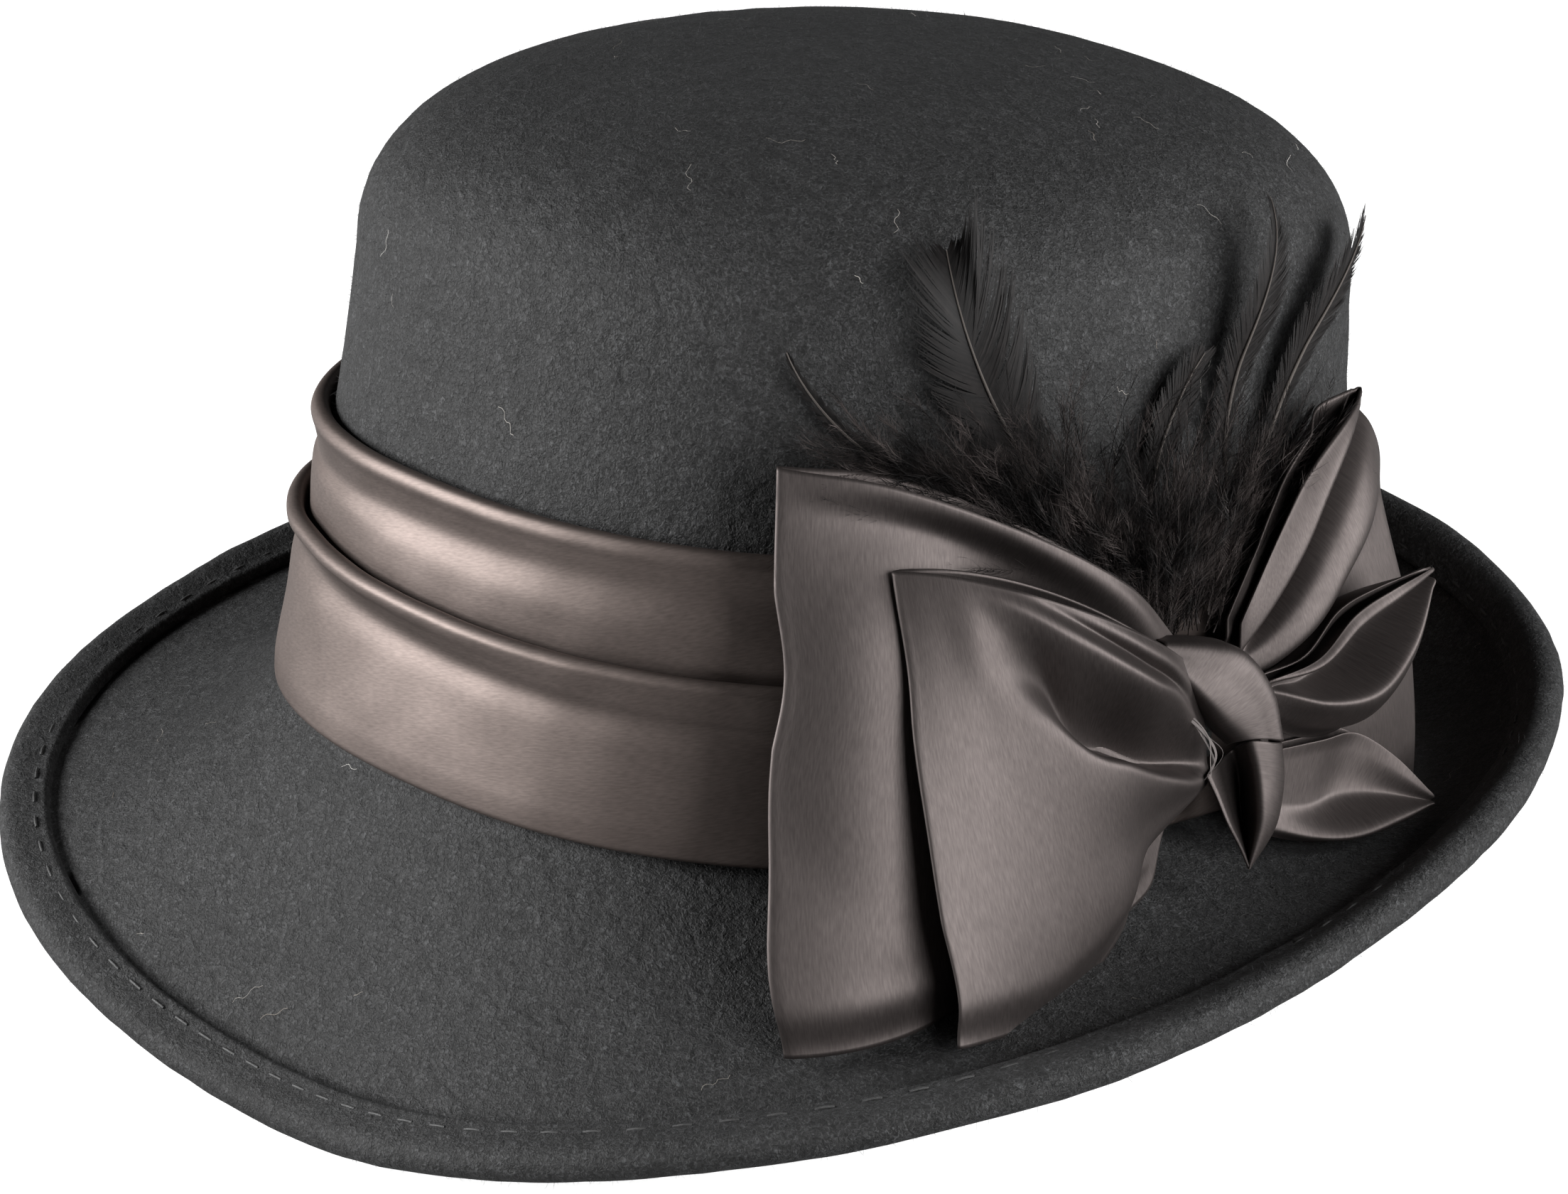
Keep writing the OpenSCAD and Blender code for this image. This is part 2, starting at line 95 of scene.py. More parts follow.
def oval(angle):
    """Points of the head oval at the head line, and the directions out of it."""
    a = np.radians(np.asarray(angle, float))
    s, c = np.sin(a), np.cos(a)
    reach = (np.abs(c) ** OVAL_N + np.abs(s) ** OVAL_N) ** (-1.0 / OVAL_N)
    point = np.stack([CROWN_AX * s * reach, -CROWN_AY * c * reach], -1)
    return point, unit(np.stack([s / CROWN_AX, -c / CROWN_AY], -1))


def crown_width(z):
    """Width of the crown at a height, as a part of its width at the head line."""
    z = np.asarray(z, float)
    side = mix(1.0, SHOULDER_TAPER, np.clip((z - ROOT_R) / (SHOULDER_Z - ROOT_R), 0.0, 1.0))
    rise = np.clip((z - SHOULDER_Z) / (CROWN_H - SHOULDER_Z), 0.0, 1.0)
    return side * (1.0 - rise**DOME_N) ** (1.0 / DOME_N)


def wall(angle, z, d):
    """Points at a distance d outside the crown's surface."""
    angle, z, d = np.broadcast_arrays(np.asarray(angle, float), z, d)
    point, out = oval(angle)
    xy = point * crown_width(z)[..., None] + out * d[..., None]
    return np.concatenate([xy, z[..., None]], -1)


def off_oval(angle, d, z):
    """Points at a distance d from the head oval and a height z."""
    angle, d, z = np.broadcast_arrays(np.asarray(angle, float), d, z)
    point, out = oval(angle)
    return np.concatenate([point + out * d[..., None], z[..., None]], -1)


def brim_pitch(angle):
    """Mean pitch of the brim, smooth through its five stations."""
    station = np.array([BRIM_PITCHES[1], *BRIM_PITCHES, BRIM_PITCHES[3]])
    last = 3.9999
    turn = np.asarray(angle, float) % 360.0
    s = np.minimum(np.where(turn > 180.0, 360.0 - turn, turn) / 45.0, last)
    i = np.floor(s).astype(int)
    t = s - i
    slopes = (station[2:] - station[:-2]) / 2.0
    return hermite(station[i + 1], slopes[i], station[i + 2], slopes[i + 1], t)


def round_hat(front, back, angle):
    """A value that goes evenly from the front of the hat to its back."""
    return mix(front, back, (1.0 - np.cos(np.radians(angle))) / 2.0)


def brim_w(angle):
    return round_hat(BRIM_FRONT_W, BRIM_BACK_W, angle)


def brim_angles(angle, s):
    """Slope of the brim at its root and at a distance s from it, in radians, and its curl radius."""
    width = brim_w(angle)
    curl = np.radians(round_hat(CURL_FRONT, CURL_BACK, angle))
    root = np.radians(brim_pitch(angle)) - curl / 2.0
    return root, root + curl * s / width, width / curl


def brim_face(angle, s, h):
    """The brim's upper face lifted by h: (distance off the oval, height)."""
    root, p, r = brim_angles(angle, s)
    d = ROOT_R * (1.0 + np.sin(root)) + r * (np.sin(p) - np.sin(root)) - h * np.sin(p)
    z = ROOT_R * (1.0 - np.cos(root)) + r * (np.cos(root) - np.cos(p)) + h * np.cos(p)
    return d, z


def root_face(angle, part, h):
    """The bend between crown and brim, from the wall (part 0) to the brim (part 1)."""
    root, _, _ = brim_angles(angle, 0.0)
    p = mix(-math.pi / 2.0, root, part)
    return ROOT_R + (ROOT_R - h) * np.sin(p), ROOT_R - (ROOT_R - h) * np.cos(p)


def hem_nose(angle, turn, r):
    """The rounded edge of the folded hem, turned from its underside to its upper side."""
    d, z = brim_face(angle, brim_w(angle), FOLD_R)
    _, p, _ = brim_angles(angle, brim_w(angle))
    return d + r * np.sin(p + turn), z - r * np.cos(p + turn)


def brim_spot(angle, s, h):
    """A spot of the trim that lies over the brim, at a distance s from the brim's root."""
    d, z = brim_face(angle, s, h)
    return np.array([angle - BOW_ANGLE, float(z), float(d)])


def rail(*spots):
    """A line of spots: angle from the knot, height above the head line, distance off the crown."""
    return [np.array(spot, float) for spot in spots]


def place(spots):
    """Points of the trim's spots.

    The wall bends at the crown's foot. The bend is eased here, so that cloth over it stays smooth.
    """
    ease_reach = 0.25
    da, z, d = np.moveaxis(np.asarray(spots, float), -1, 0)
    rise = (z - ROOT_R) / (SHOULDER_Z - ROOT_R)
    ease = CROWN_AX * (1.0 - SHOULDER_TAPER) * (np.hypot(rise, ease_reach) - np.abs(rise)) / 2.0
    return wall(BOW_ANGLE + da, z, d - ease)


# Meshes
def grid_faces(rows, cols, round_cols=False, base=0):
    """Four-sided faces of a grid of points, whose columns may close round."""
    c = np.arange(cols if round_cols else cols - 1)
    r = np.arange(rows - 1)[:, None] * cols + base
    ahead = (c + 1) % cols
    return np.stack([r + c, r + ahead, r + cols + ahead, r + cols + c], -1).reshape(-1, 4)


def new_object(name, data):
    obj = bpy.data.objects.new(name, data)
    bpy.context.scene.collection.objects.link(obj)
    return obj


def piece(name, points, faces, look, slot, body="hat", node=None, uv=None):
    """A mesh that rides on a body and stands for a solid. Points are in mm."""
    mesh = bpy.data.meshes.new(name)
    mesh.from_pydata((np.asarray(points).reshape(-1, 3) * MM).tolist(), [], [list(f) for f in faces])
    if uv is not None:
        corner = np.empty(len(mesh.loops), np.int32)
        mesh.loops.foreach_get("vertex_index", corner)
        layer = mesh.uv_layers.new(name="cloth")
        at = np.asarray(uv).reshape(-1, 2)[corner] * MM
        layer.data.foreach_set("uv", at.astype(np.float32).ravel())
    mesh.polygons.foreach_set("use_smooth", [True] * len(mesh.polygons))
    mesh.materials.append(look)
    obj = new_object(name, mesh)
    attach(obj, body)
    if node:
        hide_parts(node)
    return obj


def thicken(obj, thickness):
    """Gives a sheet its thickness, half to each side."""
    solid = obj.modifiers.new("thickness", "SOLIDIFY")
    solid.thickness = thickness * MM
    solid.offset = 0.0
    return obj


def sizes_uv(grid):
    """Distances along the rows and the columns of a grid, for a weave at its real scale."""
    along = np.linalg.norm(np.diff(grid, axis=1), axis=-1).mean(0)
    across = np.linalg.norm(np.diff(grid, axis=0), axis=-1).mean(1)
    u = np.concatenate([[0.0], np.cumsum(along)])
    v = np.concatenate([[0.0], np.cumsum(across)])
    return np.stack(np.meshgrid(u, v), -1)


def cloth(name, node, grid, look, thickness, held, rests_on, slot="satin", **cut):
    """A sheet of cloth along a grid. The cut is not used."""
    sheet = piece(name, grid, grid_faces(*grid.shape[:2]), look, slot, node=node, uv=sizes_uv(grid))
    thicken(sheet, thickness)


class Strips:
    """Collects thin ribbons and shafts into one mesh."""

    def __init__(self):
        self.points = []
        self.faces = []

    def add(self, line, half):
        """A ribbon along a line, with its half width as a vector at each point."""
        base = len(self.points)
        for p, h in zip(line, half):
            self.points += [p - h, p + h]
        self.faces += [[base + 2 * k, base + 2 * k + 1, base + 2 * k + 3, base + 2 * k + 2]
                       for k in range(len(line) - 1)]

    def tube(self, line, radius, sides=6):
        """A tapering round shaft."""
        run = unit(np.gradient(line, axis=0))
        side = unit(np.cross(run, [0.3, 0.2, 0.93]))
        other = np.cross(run, side)
        turn = np.arange(sides) * 2.0 * math.pi / sides
        ring = np.cos(turn)[None, :, None] * side[:, None] + np.sin(turn)[None, :, None] * other[:, None]
        grid = line[:, None] + ring * radius[:, None, None]
        self.faces += grid_faces(len(line), sides, round_cols=True, base=len(self.points)).tolist()
        self.points += list(grid.reshape(-1, 3))

    def make(self, name, look, slot, **rest):
        piece(name, np.array(self.points), self.faces, look, slot, **rest)


def waves(points, size, count, seed):
    """Smooth random values from -1 to 1 that vary over about size mm."""
    rng = np.random.default_rng(seed)
    heading = unit(rng.normal(size=(count, 3)))
    pitch = 2.0 * math.pi / (size * rng.uniform(0.7, 1.5, count))
    phase = rng.uniform(0.0, 2.0 * math.pi, count)
    return np.sin(points @ (heading * pitch[:, None]).T + phase).sum(-1) / math.sqrt(count / 2.0) / 2.0


# Materials
class Look:
    """A Principled material, with short ways to add nodes to it."""

    def __init__(self, name, **sockets):
        self.material = bpy.data.materials.new(name)
        self.material.use_nodes = True
        self.tree = self.material.node_tree
        self.shader = self.tree.nodes["Principled BSDF"]
        for socket, value in sockets.items():
            self.shader.inputs[socket.replace("_", " ")].default_value = value

    def add(self, kind, inputs=None, **settings):
        """A node with its settings, and its inputs as values or as other nodes' outputs."""
        node = self.tree.nodes.new(kind)
        for key, value in settings.items():
            setattr(node, key, value)
        for key, value in (inputs or {}).items():
            if isinstance(value, bpy.types.NodeSocket):
                self.tree.links.new(value, node.inputs[key])
            else:
                node.inputs[key].default_value = value
        return node

    def link(self, output, socket):
        self.tree.links.new(output, self.shader.inputs[socket])

    def on_object(self):
        """Coordinates on the object, in metres."""
        return self.add("ShaderNodeTexCoord").outputs["Object"]

    def on_cloth(self):
        """Coordinates along the cloth, in metres."""
        return self.add("ShaderNodeTexCoord").outputs["UV"]

    def mapped(self, vector, **inputs):
        """Coordinates turned or stretched."""
        return self.add("ShaderNodeMapping", {"Vector": vector, **inputs}).outputs["Vector"]

    def per_strand(self):
        """A random value for each separate strand of a mesh."""
        return self.add("ShaderNodeNewGeometry").outputs["Random Per Island"]

    def noise(self, vector, scale, detail=3.0, distortion=0.0):
        inputs = {"Vector": vector, "Scale": scale, "Detail": detail, "Distortion": distortion}
        return self.add("ShaderNodeTexNoise", inputs).outputs["Fac"]

    def ramp(self, value, stops):
        """A colour ramp through (position, colour) stops."""
        node = self.add("ShaderNodeValToRGB", {"Fac": value})
        while len(node.color_ramp.elements) < len(stops):
            node.color_ramp.elements.new(0.5)
        for element, (position, colour) in zip(node.color_ramp.elements, stops):
            element.position = position
            element.color = (*colour, 1.0)
        return node.outputs["Color"]

    def mixed(self, factor, a, b, blend="MIX"):
        inputs = {0: factor, 6: a, 7: b}
        return self.add("ShaderNodeMix", inputs, data_type="RGBA", blend_type=blend).outputs[2]

    def times(self, a, b):
        return self.mixed(1.0, a, b, "MULTIPLY")

    def bump(self, height, distance, strength=1.0, under=None):
        inputs = {"Height": height, "Distance": distance, "Strength": strength}
        if under:
            inputs["Normal"] = under
        return self.add("ShaderNodeBump", inputs).outputs["Normal"]


def grey(value):
    return (value, value, value)


def felt_look():
    """Black wool felt: matted fibres, mottled, with a soft bloom at grazing angles."""
    look = Look("felt", Roughness=0.68, Specular_IOR_Level=0.32, Sheen_Weight=0.03, Sheen_Roughness=0.45,
                Sheen_Tint=(0.62, 0.64, 0.66, 1.0))
    at = look.on_object()
    clumps = look.noise(at, 320.0, 3.0, 0.6)
    fibres = look.noise(at, 1500.0, 4.0, 1.2)
    cloud = look.noise(at, 28.0, 2.0)
    base = look.ramp(clumps, [(0.3, (0.013, 0.013, 0.0132)), (0.7, (0.026, 0.026, 0.0265))])
    light = look.ramp(fibres, [(0.4, grey(0.35)), (0.56, grey(1.1)), (0.7, (2.6, 2.65, 2.7))])
    worn = look.ramp(cloud, [(0.3, grey(0.85)), (0.7, grey(1.12))])
    look.link(look.times(look.times(base, light), worn), "Base Color")
    coarse = look.bump(clumps, 0.0008, 0.8)
    look.link(look.bump(fibres, 0.0004, 1.0, coarse), "Normal")
    return look.material


def fibre_look(name, dark, pale):
    """Loose fibres: each strand its own shade."""
    look = Look(name, Roughness=0.8)
    look.link(look.ramp(look.per_strand(), [(0.0, dark), (1.0, pale)]), "Base Color")
    return look.material


def satin_look(name, weave_turn, sheen_turn, dark, pale):
    """Taupe satin: fine warp lines, soft streaks and a broad sheen that is turned from the weave."""
    look = Look(name, Metallic=0.9, Roughness=0.54, Anisotropic=0.2, Anisotropic_Rotation=sheen_turn)
    turned = look.mapped(look.on_cloth(), Rotation=(0.0, 0.0, weave_turn))
    threads = look.noise(look.mapped(turned, Scale=(3200.0, 500.0, 1.0)), 1.0, 2.0)
    drift = look.noise(look.mapped(turned, Scale=(260.0, 90.0, 1.0)), 1.0, 2.0)
    base = look.ramp(threads, [(0.25, dark), (0.75, pale)])
    shade = look.ramp(drift, [(0.3, grey(0.96)), (0.7, grey(1.04))])
    look.link(look.times(base, shade), "Base Color")
    look.link(look.bump(threads, 0.00002, 0.5), "Normal")
    tangent = look.add("ShaderNodeTangent", direction_type="UV_MAP", uv_map="cloth")
    look.link(tangent.outputs["Tangent"], "Tangent")
    return look.material


def feather_look():
    """Near-black barbs, each its own shade, with a fine grain."""
    look = Look("feather", Roughness=0.55, Specular_IOR_Level=0.2)
    grain = look.noise(look.on_object(), 900.0, 3.0)
    base = look.ramp(look.per_strand(), [(0.0, (0.004, 0.0035, 0.0035)), (1.0, (0.0115, 0.0098, 0.0095))])
    tone = look.ramp(grain, [(0.3, grey(0.75)), (0.7, grey(1.3))])
    look.link(look.times(base, tone), "Base Color")
    return look.material


def down_look():
    """Soft down: brown-black in tufts, with paler and darker strands."""
    look = Look("down", Roughness=0.7, Specular_IOR_Level=0.15)
    tuft = look.noise(look.on_object(), 140.0, 2.0)
    strand = look.ramp(look.per_strand(), [(0.0, grey(0.5)), (1.0, grey(1.6))])
    base = look.ramp(tuft, [(0.42, (0.005, 0.0042, 0.0042)), (0.7, (0.05, 0.041, 0.039))])
    look.link(look.times(base, strand), "Base Color")
    return look.material


def ribbon_look():
    """Black grosgrain: fine ribs across the ribbon."""
    look = Look("grosgrain", Roughness=0.6)
    ribs = look.add("ShaderNodeTexWave", {"Vector": look.on_cloth(), "Scale": 350.0, "Distortion": 0.4},
                    bands_direction="X")
    look.link(look.ramp(ribs.outputs["Fac"], [(0.2, grey(0.012)), (0.8, grey(0.035))]), "Base Color")
    look.link(look.bump(ribs.outputs["Fac"], 0.0002, 0.8), "Normal")
    return look.material


def thread_look():
    """Twisted black sewing thread."""
    look = Look("thread", Roughness=0.55)
    twist = look.noise(look.on_object(), 2500.0, 2.0, 2.0)
    look.link(look.ramp(twist, [(0.3, grey(0.02)), (0.7, grey(0.055))]), "Base Color")
    look.link(look.bump(twist, 0.0001), "Normal")
    return look.material


def buckram_look():
    """Stiffened open weave behind the bow."""
    look = Look("buckram", Roughness=0.85)
    weave = look.add("ShaderNodeTexChecker", {"Vector": look.on_object(), "Scale": 900.0})
    colour = look.mixed(weave.outputs["Fac"], (*grey(0.035), 1.0), (*grey(0.07), 1.0))
    look.link(colour, "Base Color")
    look.link(look.bump(weave.outputs["Fac"], 0.0002), "Normal")
    return look.material


def wire_look():
    """Drawn steel wire with dull patches."""
    look = Look("wire", Metallic=1.0, Roughness=0.35)
    dull = look.noise(look.on_object(), 400.0, 3.0)
    look.link(look.ramp(dull, [(0.3, grey(0.22)), (0.7, grey(0.38))]), "Base Color")
    look.link(look.bump(dull, 0.00005), "Normal")
    return look.material


FELT = felt_look()
FIBRE = fibre_look("fibre", grey(0.012), (0.045, 0.046, 0.048))
LINT = fibre_look("lint", (0.16, 0.13, 0.10), (0.55, 0.53, 0.50))
SATIN_BAND = satin_look("satin_band", math.radians(75.0), 0.0, (0.101, 0.082, 0.075), (0.143, 0.116, 0.106))
# The bow's satin is the band's satin painted darker: painted shade for the lesser light that falls on the
# bow.
SATIN_BOW_SHADED = satin_look("satin_bow_painted_shade", math.radians(90.0), 0.25, (0.061, 0.052, 0.05), (0.09, 0.077, 0.074))
FRAY = fibre_look("fray", (0.05, 0.043, 0.041), (0.15, 0.13, 0.125))
SHAFT = fibre_look("shaft", (0.03, 0.025, 0.022), (0.085, 0.072, 0.064))
FEATHER = feather_look()
DOWN = down_look()
RIBBON = ribbon_look()
THREAD = thread_look()
BUCKRAM = buckram_look()
WIRE = wire_look()


# Felt body
FELT_TURNS = 288


def felt_rows():
    """Rows of the felt from the top of the dome, out over the brim, round the hem and back inside."""
    a = np.arange(FELT_TURNS) * 360.0 / FELT_TURNS
    width = brim_w(a)
    rows = []

    def flap(s):
        return FOLD_R * 2.0 * smooth((s - width + HEM_W) / HEM_W)

    def ring(inset, size, z):
        point, _ = oval(a)
        inner = np.array([1.0 - inset / CROWN_AX, 1.0 - inset / CROWN_AY])
        rows.append(np.concatenate([point * inner * size, np.full((len(a), 1), z)], -1))

    def dome(inset, rises):
        for rise in np.radians(rises):
            z = SHOULDER_Z + (CROWN_H - inset - SHOULDER_Z) * math.sin(rise) ** (2.0 / DOME_N)
            ring(inset, SHOULDER_TAPER * math.cos(rise) ** (2.0 / DOME_N), z)

    def side(inset, parts):
        for z in mix(SHOULDER_Z, ROOT_R, np.asarray(parts)):
            ring(inset, crown_width(z), z)

    def face(spots):
        for d, z in spots:
            rows.append(off_oval(a, d, z))

    dome(0.0, np.linspace(88.0, 3.0, 30))
    side(0.0, np.linspace(0.0, 0.97, 24))
    face(root_face(a, part, 0.0) for part in np.linspace(0.0, 0.9, 7))
    face(brim_face(a, t * (width - HEM_W), 0.0) for t in np.linspace(0.0, 1.0, 22))
    face(brim_face(a, width - back * HEM_W, flap(width - back * HEM_W) + FELT_T * lift)
         for back, lift in ((1.0, 0.06), (1.03, 0.35), (1.02, 0.75), (0.96, 0.97)))
    face(brim_face(a, width - back * HEM_W, flap(width - back * HEM_W) + FELT_T)
         for back in np.linspace(0.88, 0.0, 9))
    face(hem_nose(a, math.radians(turn), FOLD_R + FELT_T) for turn in np.linspace(168.0, 12.0, 14))
    face(brim_face(a, t * width, -FELT_T) for t in np.linspace(1.0, 0.0, 24))
    face(root_face(a, part, -FELT_T) for part in np.linspace(0.9, 0.0, 7))
    side(FELT_T, np.linspace(0.97, 0.0, 12))
    dome(FELT_T, np.linspace(3.0, 88.0, 20))
    return np.array(rows)


def surface_normals(grid):
    """Outward normals of a grid whose columns close round."""
    along = np.roll(grid, -1, 1) - np.roll(grid, 1, 1)
    down = np.gradient(grid, axis=0)
    return unit(np.cross(down, along))


def felt_body():
    """The felt, a little uneven as blocked wool is, closed by a point at each end."""
    rows = felt_rows()
    normal = surface_normals(rows)
    uneven = 0.25 * waves(rows, 45.0, 14, 3) + 0.1 * waves(rows, 9.0, 24, 4)
    rows = rows + normal * uneven[..., None]
    count, turns = rows.shape[:2]
    tips = np.array([[0.0, 0.0, CROWN_H], [0.0, 0.0, CROWN_H - FELT_T]])
    faces = grid_faces(count, turns, round_cols=True).tolist()
    last = (count - 1) * turns
    for c in range(turns):
        ahead = (c + 1) % turns
        faces.append([count * turns, ahead, c])
        faces.append([count * turns + 1, last + c, last + ahead])
    points = np.concatenate([rows.reshape(-1, 3), tips])
    piece("felt_body_blocked", points, faces, FELT, "felt", node="felt_body")
    return rows, normal


def strands(roots, headings, lengths, sway_part, width, rng):
    """Thin bent blades of two segments, one for each root."""
    n = len(roots)
    side = unit(np.cross(headings, rng.normal(size=(n, 3))))
    sway = rng.normal(size=(n, 3)) * sway_part
    middle = roots + headings * lengths[:, None] * 0.55 + sway * lengths[:, None] * 0.4
    tip = roots + headings * lengths[:, None] + sway * lengths[:, None] * 1.3
    half = side * width / 2.0
    points = np.stack([roots - half, roots + half, middle + half * 0.8, middle - half * 0.8, tip], 1)
    first = np.arange(n)[:, None] * 5
    quads = (first + np.array([0, 1, 2, 3])).tolist()
    tips = (first + np.array([3, 2, 4])).tolist()
    return points.reshape(-1, 3), quads + tips


def felt_fuzz(rows, normal, count):
    """Loose fibres that stand off the felt."""
    rng = np.random.default_rng(11)
    inner_rows = 34
    height = np.linalg.norm(np.gradient(rows, axis=0), axis=-1)
    area = height * np.linalg.norm(np.roll(rows, -1, 1) - rows, axis=-1)
    outside = np.arange(len(rows)) < len(rows) - inner_rows
    chance = (area * outside[:, None]).ravel()
    pick = rng.choice(chance.size, count, p=chance / chance.sum())
    r, c = np.divmod(pick, rows.shape[1])
    step = mix(rows[r, c], rows[np.minimum(r + 1, len(rows) - 1), (c + 1) % rows.shape[1]],
               rng.uniform(0.0, 1.0, count)[:, None])
    heading = unit(normal[r, c] + rng.normal(size=(count, 3)) * 0.75)
    inward = (heading * normal[r, c]).sum(1) < 0.1
    heading[inward] += normal[r, c][inward] * 0.9
    points, faces = strands(step, heading, rng.uniform(0.4, 1.2, count), 0.35, 0.04, rng)
    piece("felt_fuzz", points, faces, FIBRE, "felt")


def felt_lint(rows, normal, count):
    """A few pale hairs caught in the felt."""
    rng = np.random.default_rng(21)
    first_row, last_row = 4, 84
    strips = Strips()
    t = np.linspace(0.0, 1.0, 9)
    for _ in range(count):
        r = int(rng.integers(first_row, last_row))
        c = int(rng.integers(0, rows.shape[1]))
        n = normal[r, c]
        heading = unit(np.cross(n, rng.normal(size=3)))
        side = np.cross(n, heading)
        length = rng.uniform(1.5, 7.0)
        curl = rng.uniform(-0.35, 0.35) * length * t**2 + 0.08 * length * np.sin(t * rng.uniform(4.0, 14.0))
        lift = 0.35 + 0.25 * np.sin(t * 5.0 + rng.uniform(0.0, 6.0))
        line = rows[r, c] + heading * (t * length)[:, None] + side * curl[:, None] + n * lift[:, None]
        strips.add(line, np.tile(side * rng.uniform(0.025, 0.045), (len(t), 1)))
    strips.make("felt_lint", LINT, "felt")


felt, felt_normal = felt_body()
felt_fuzz(felt, felt_normal, 60000)
felt_lint(felt, felt_normal, 130)


# Stitches
def stitch_tube(start, end, out, thread_d):
    """One stitch: a thread that rises out of the cloth and dips back into it."""
    sides = 6
    t = np.linspace(0.0, 1.0, 7)
    line = mix(start, end, t[:, None]) + out * (np.sin(math.pi * t) * 0.35 - 0.25)[:, None] * thread_d
    run = unit(end - start)
    across = np.cross(out, run)
    turn = np.arange(sides) * 2.0 * math.pi / sides
    ring = np.cos(turn)[:, None] * across + np.sin(turn)[:, None] * out
    return line[:, None, :] + ring * thread_d / 2.0


def stitching(name, node, at, count, length, thread_d):
    """A row of stitches round the hat. at(angle, above) gives points on the cloth and above it."""
    angles = np.arange(count) * 360.0 / count
    starts = at(angles, 0.0)
    ends = starts + unit(at(angles + 1.0, 0.0) - starts) * length
    points = []
    faces = []
    for start, end, out in zip(starts, ends, at(angles, 1.0) - starts):
        tube = stitch_tube(start, end, out, thread_d)
        faces += grid_faces(len(tube), tube.shape[1], round_cols=True, base=sum(map(len, points))).tolist()
        points.append(tube.reshape(-1, 3))
    piece(name, np.concatenate(points), faces, THREAD, "thread", node=node)


def hem_stitching():
    """Stitches that hold the folded hem."""
    inset = 2.2
    lift = FOLD_R * 2.0 * smooth(inset / HEM_W) + FELT_T

    def at(angle, above):
        return off_oval(angle, *brim_face(angle, brim_w(angle) - HEM_W + inset, lift + above))

    stitching("hem_stitches", "hem_stitching", at, 120, 3.4, 0.6)


def sweatband_stitching():
    """Stitches that hold the sweatband, a little proud of its inner face."""
    z = 4.0
    depth = FELT_T + 1.3

    def at(angle, above):
        return wall(angle, z, -depth - above)

    stitching("sweatband_stitches", "sweatband_stitching", at, 64, 3.0, 0.5)


def sweatband():
    """Grosgrain ribbon inside the head opening, a little loose at its upper edge."""
    a = np.linspace(0.0, 360.0, 241) + 180.0
    z = np.linspace(1.0, 26.0, 12)
    loose = ((z - 4.0) / 22.0).clip(0.0)[:, None] * (0.9 + 0.5 * np.sin(np.radians(a * 9.0)))[None, :]
    grid = wall(a[None, :], z[:, None], -(FELT_T + 0.75) - loose * 0.6)
    cloth("sweatband_ribbon", "sweatband", grid, RIBBON, 0.6, "stretched", ["felt_body_blocked"],
          slot="ribbon")


hem_stitching()
sweatband()
sweatband_stitching()
wire_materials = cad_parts["brim_wire"].data.materials
wire_materials.clear()
wire_materials.append(WIRE)


# Satin band
def curve_through(values, t):
    """Smooth curve through evenly spaced values, by Catmull-Rom."""
    values = np.asarray(values, float)
    padded = np.concatenate([[2 * values[0] - values[1]], values, [2 * values[-1] - values[-2]]])
    x = np.clip(t, 0.0, 1.0) * (len(values) - 1)
    i = np.minimum(x.astype(int), len(values) - 2)
    f = (x - i).reshape(-1, *([1] * (values.ndim - 1)))
    p0, p1, p2, p3 = (padded[i + k] for k in range(4))
    return 0.5 * (2 * p1 + (p2 - p0) * f + (2 * p0 - 5 * p1 + 4 * p2 - p3) * f**2
                  + (3 * p1 - p0 - 3 * p2 + p3) * f**3)


def satin_hatband():
    """The band as one draped strip: lower pleat, a tuck, upper pleat and a rolled top edge."""
    steps = 150
    a = np.linspace(0.0, 360.0, 361) + BOW_ANGLE
    front = np.radians(a)
    pleat_z = 34.0 + 1.6 * np.cos(2.0 * front + 0.9) - 0.9 * np.cos(3.0 * front)
    top_z = BAND_H + 0.4 * np.sin(2.0 * front + 0.4)
    puff = 0.35 + 0.65 * (0.5 + 0.5 * np.cos(front + math.radians(45.0))) ** 1.5
    dip = 7.5 + 3.0 * np.sin(front)
    grid = np.empty((steps, len(a), 3))
    for i, (p, top, roll, depth) in enumerate(zip(pleat_z, top_z, puff, dip)):
        valley = p - depth
        outline = np.array([
            (1.6, 3.6), (3.4, 1.6), (4.8, 1.5), (5.0, 3.4), (4.9, 7.0), (4.7, mix(7.0, valley, 0.35)),
            (4.3, mix(7.0, valley, 0.75)), (4.1 - 0.6 * roll, valley), (4.1 + 0.5 * roll, valley + 3.0),
            (4.2 + 1.5 * roll, p - 2.6), (4.1 + 1.8 * roll, p - 1.0), (3.5 + 1.2 * roll, p + 0.2),
            (2.9 + 0.5 * roll, p - 0.4), (2.5, p - 3.0), (2.1, p - 5.5), (1.7, p - 4.6), (1.7, p - 1.0),
            (2.3, p + 3.5), (2.6, p + 8.0), (2.3 - 0.3 * roll, top - 8.5), (2.4 + 0.7 * roll, top - 4.6),
            (2.3 + 1.7 * roll, top - 2.2), (1.9 + 1.5 * roll, top - 0.4), (1.2 + 0.8 * roll, top),
            (0.8, top - 1.6), (0.6, top - 4.0)])
        line = curve_through(outline, np.linspace(0.0, 1.0, steps))
        grid[:, i] = wall(a[i], line[:, 1], line[:, 0] + 0.3)
    height = np.linspace(0.0, 1.0, steps)[:, None]
    soft = np.sin(np.pi * np.clip(height * 1.02, 0.0, 1.0)) ** 0.5
    drape = 0.35 * waves(grid * [1.0, 1.0, 1.6], 34.0, 10, 31) + 0.1 * waves(grid, 12.0, 16, 32)
    _, out = oval(a)
    lift = (drape * soft).clip(-0.45, 0.8)
    grid[..., :2] += out[None, :, :] * lift[..., None]
    cloth("satin_hatband_draped", "satin_hatband", grid, SATIN_BAND, 0.4, "gathered", ["felt_body_blocked"])


satin_hatband()


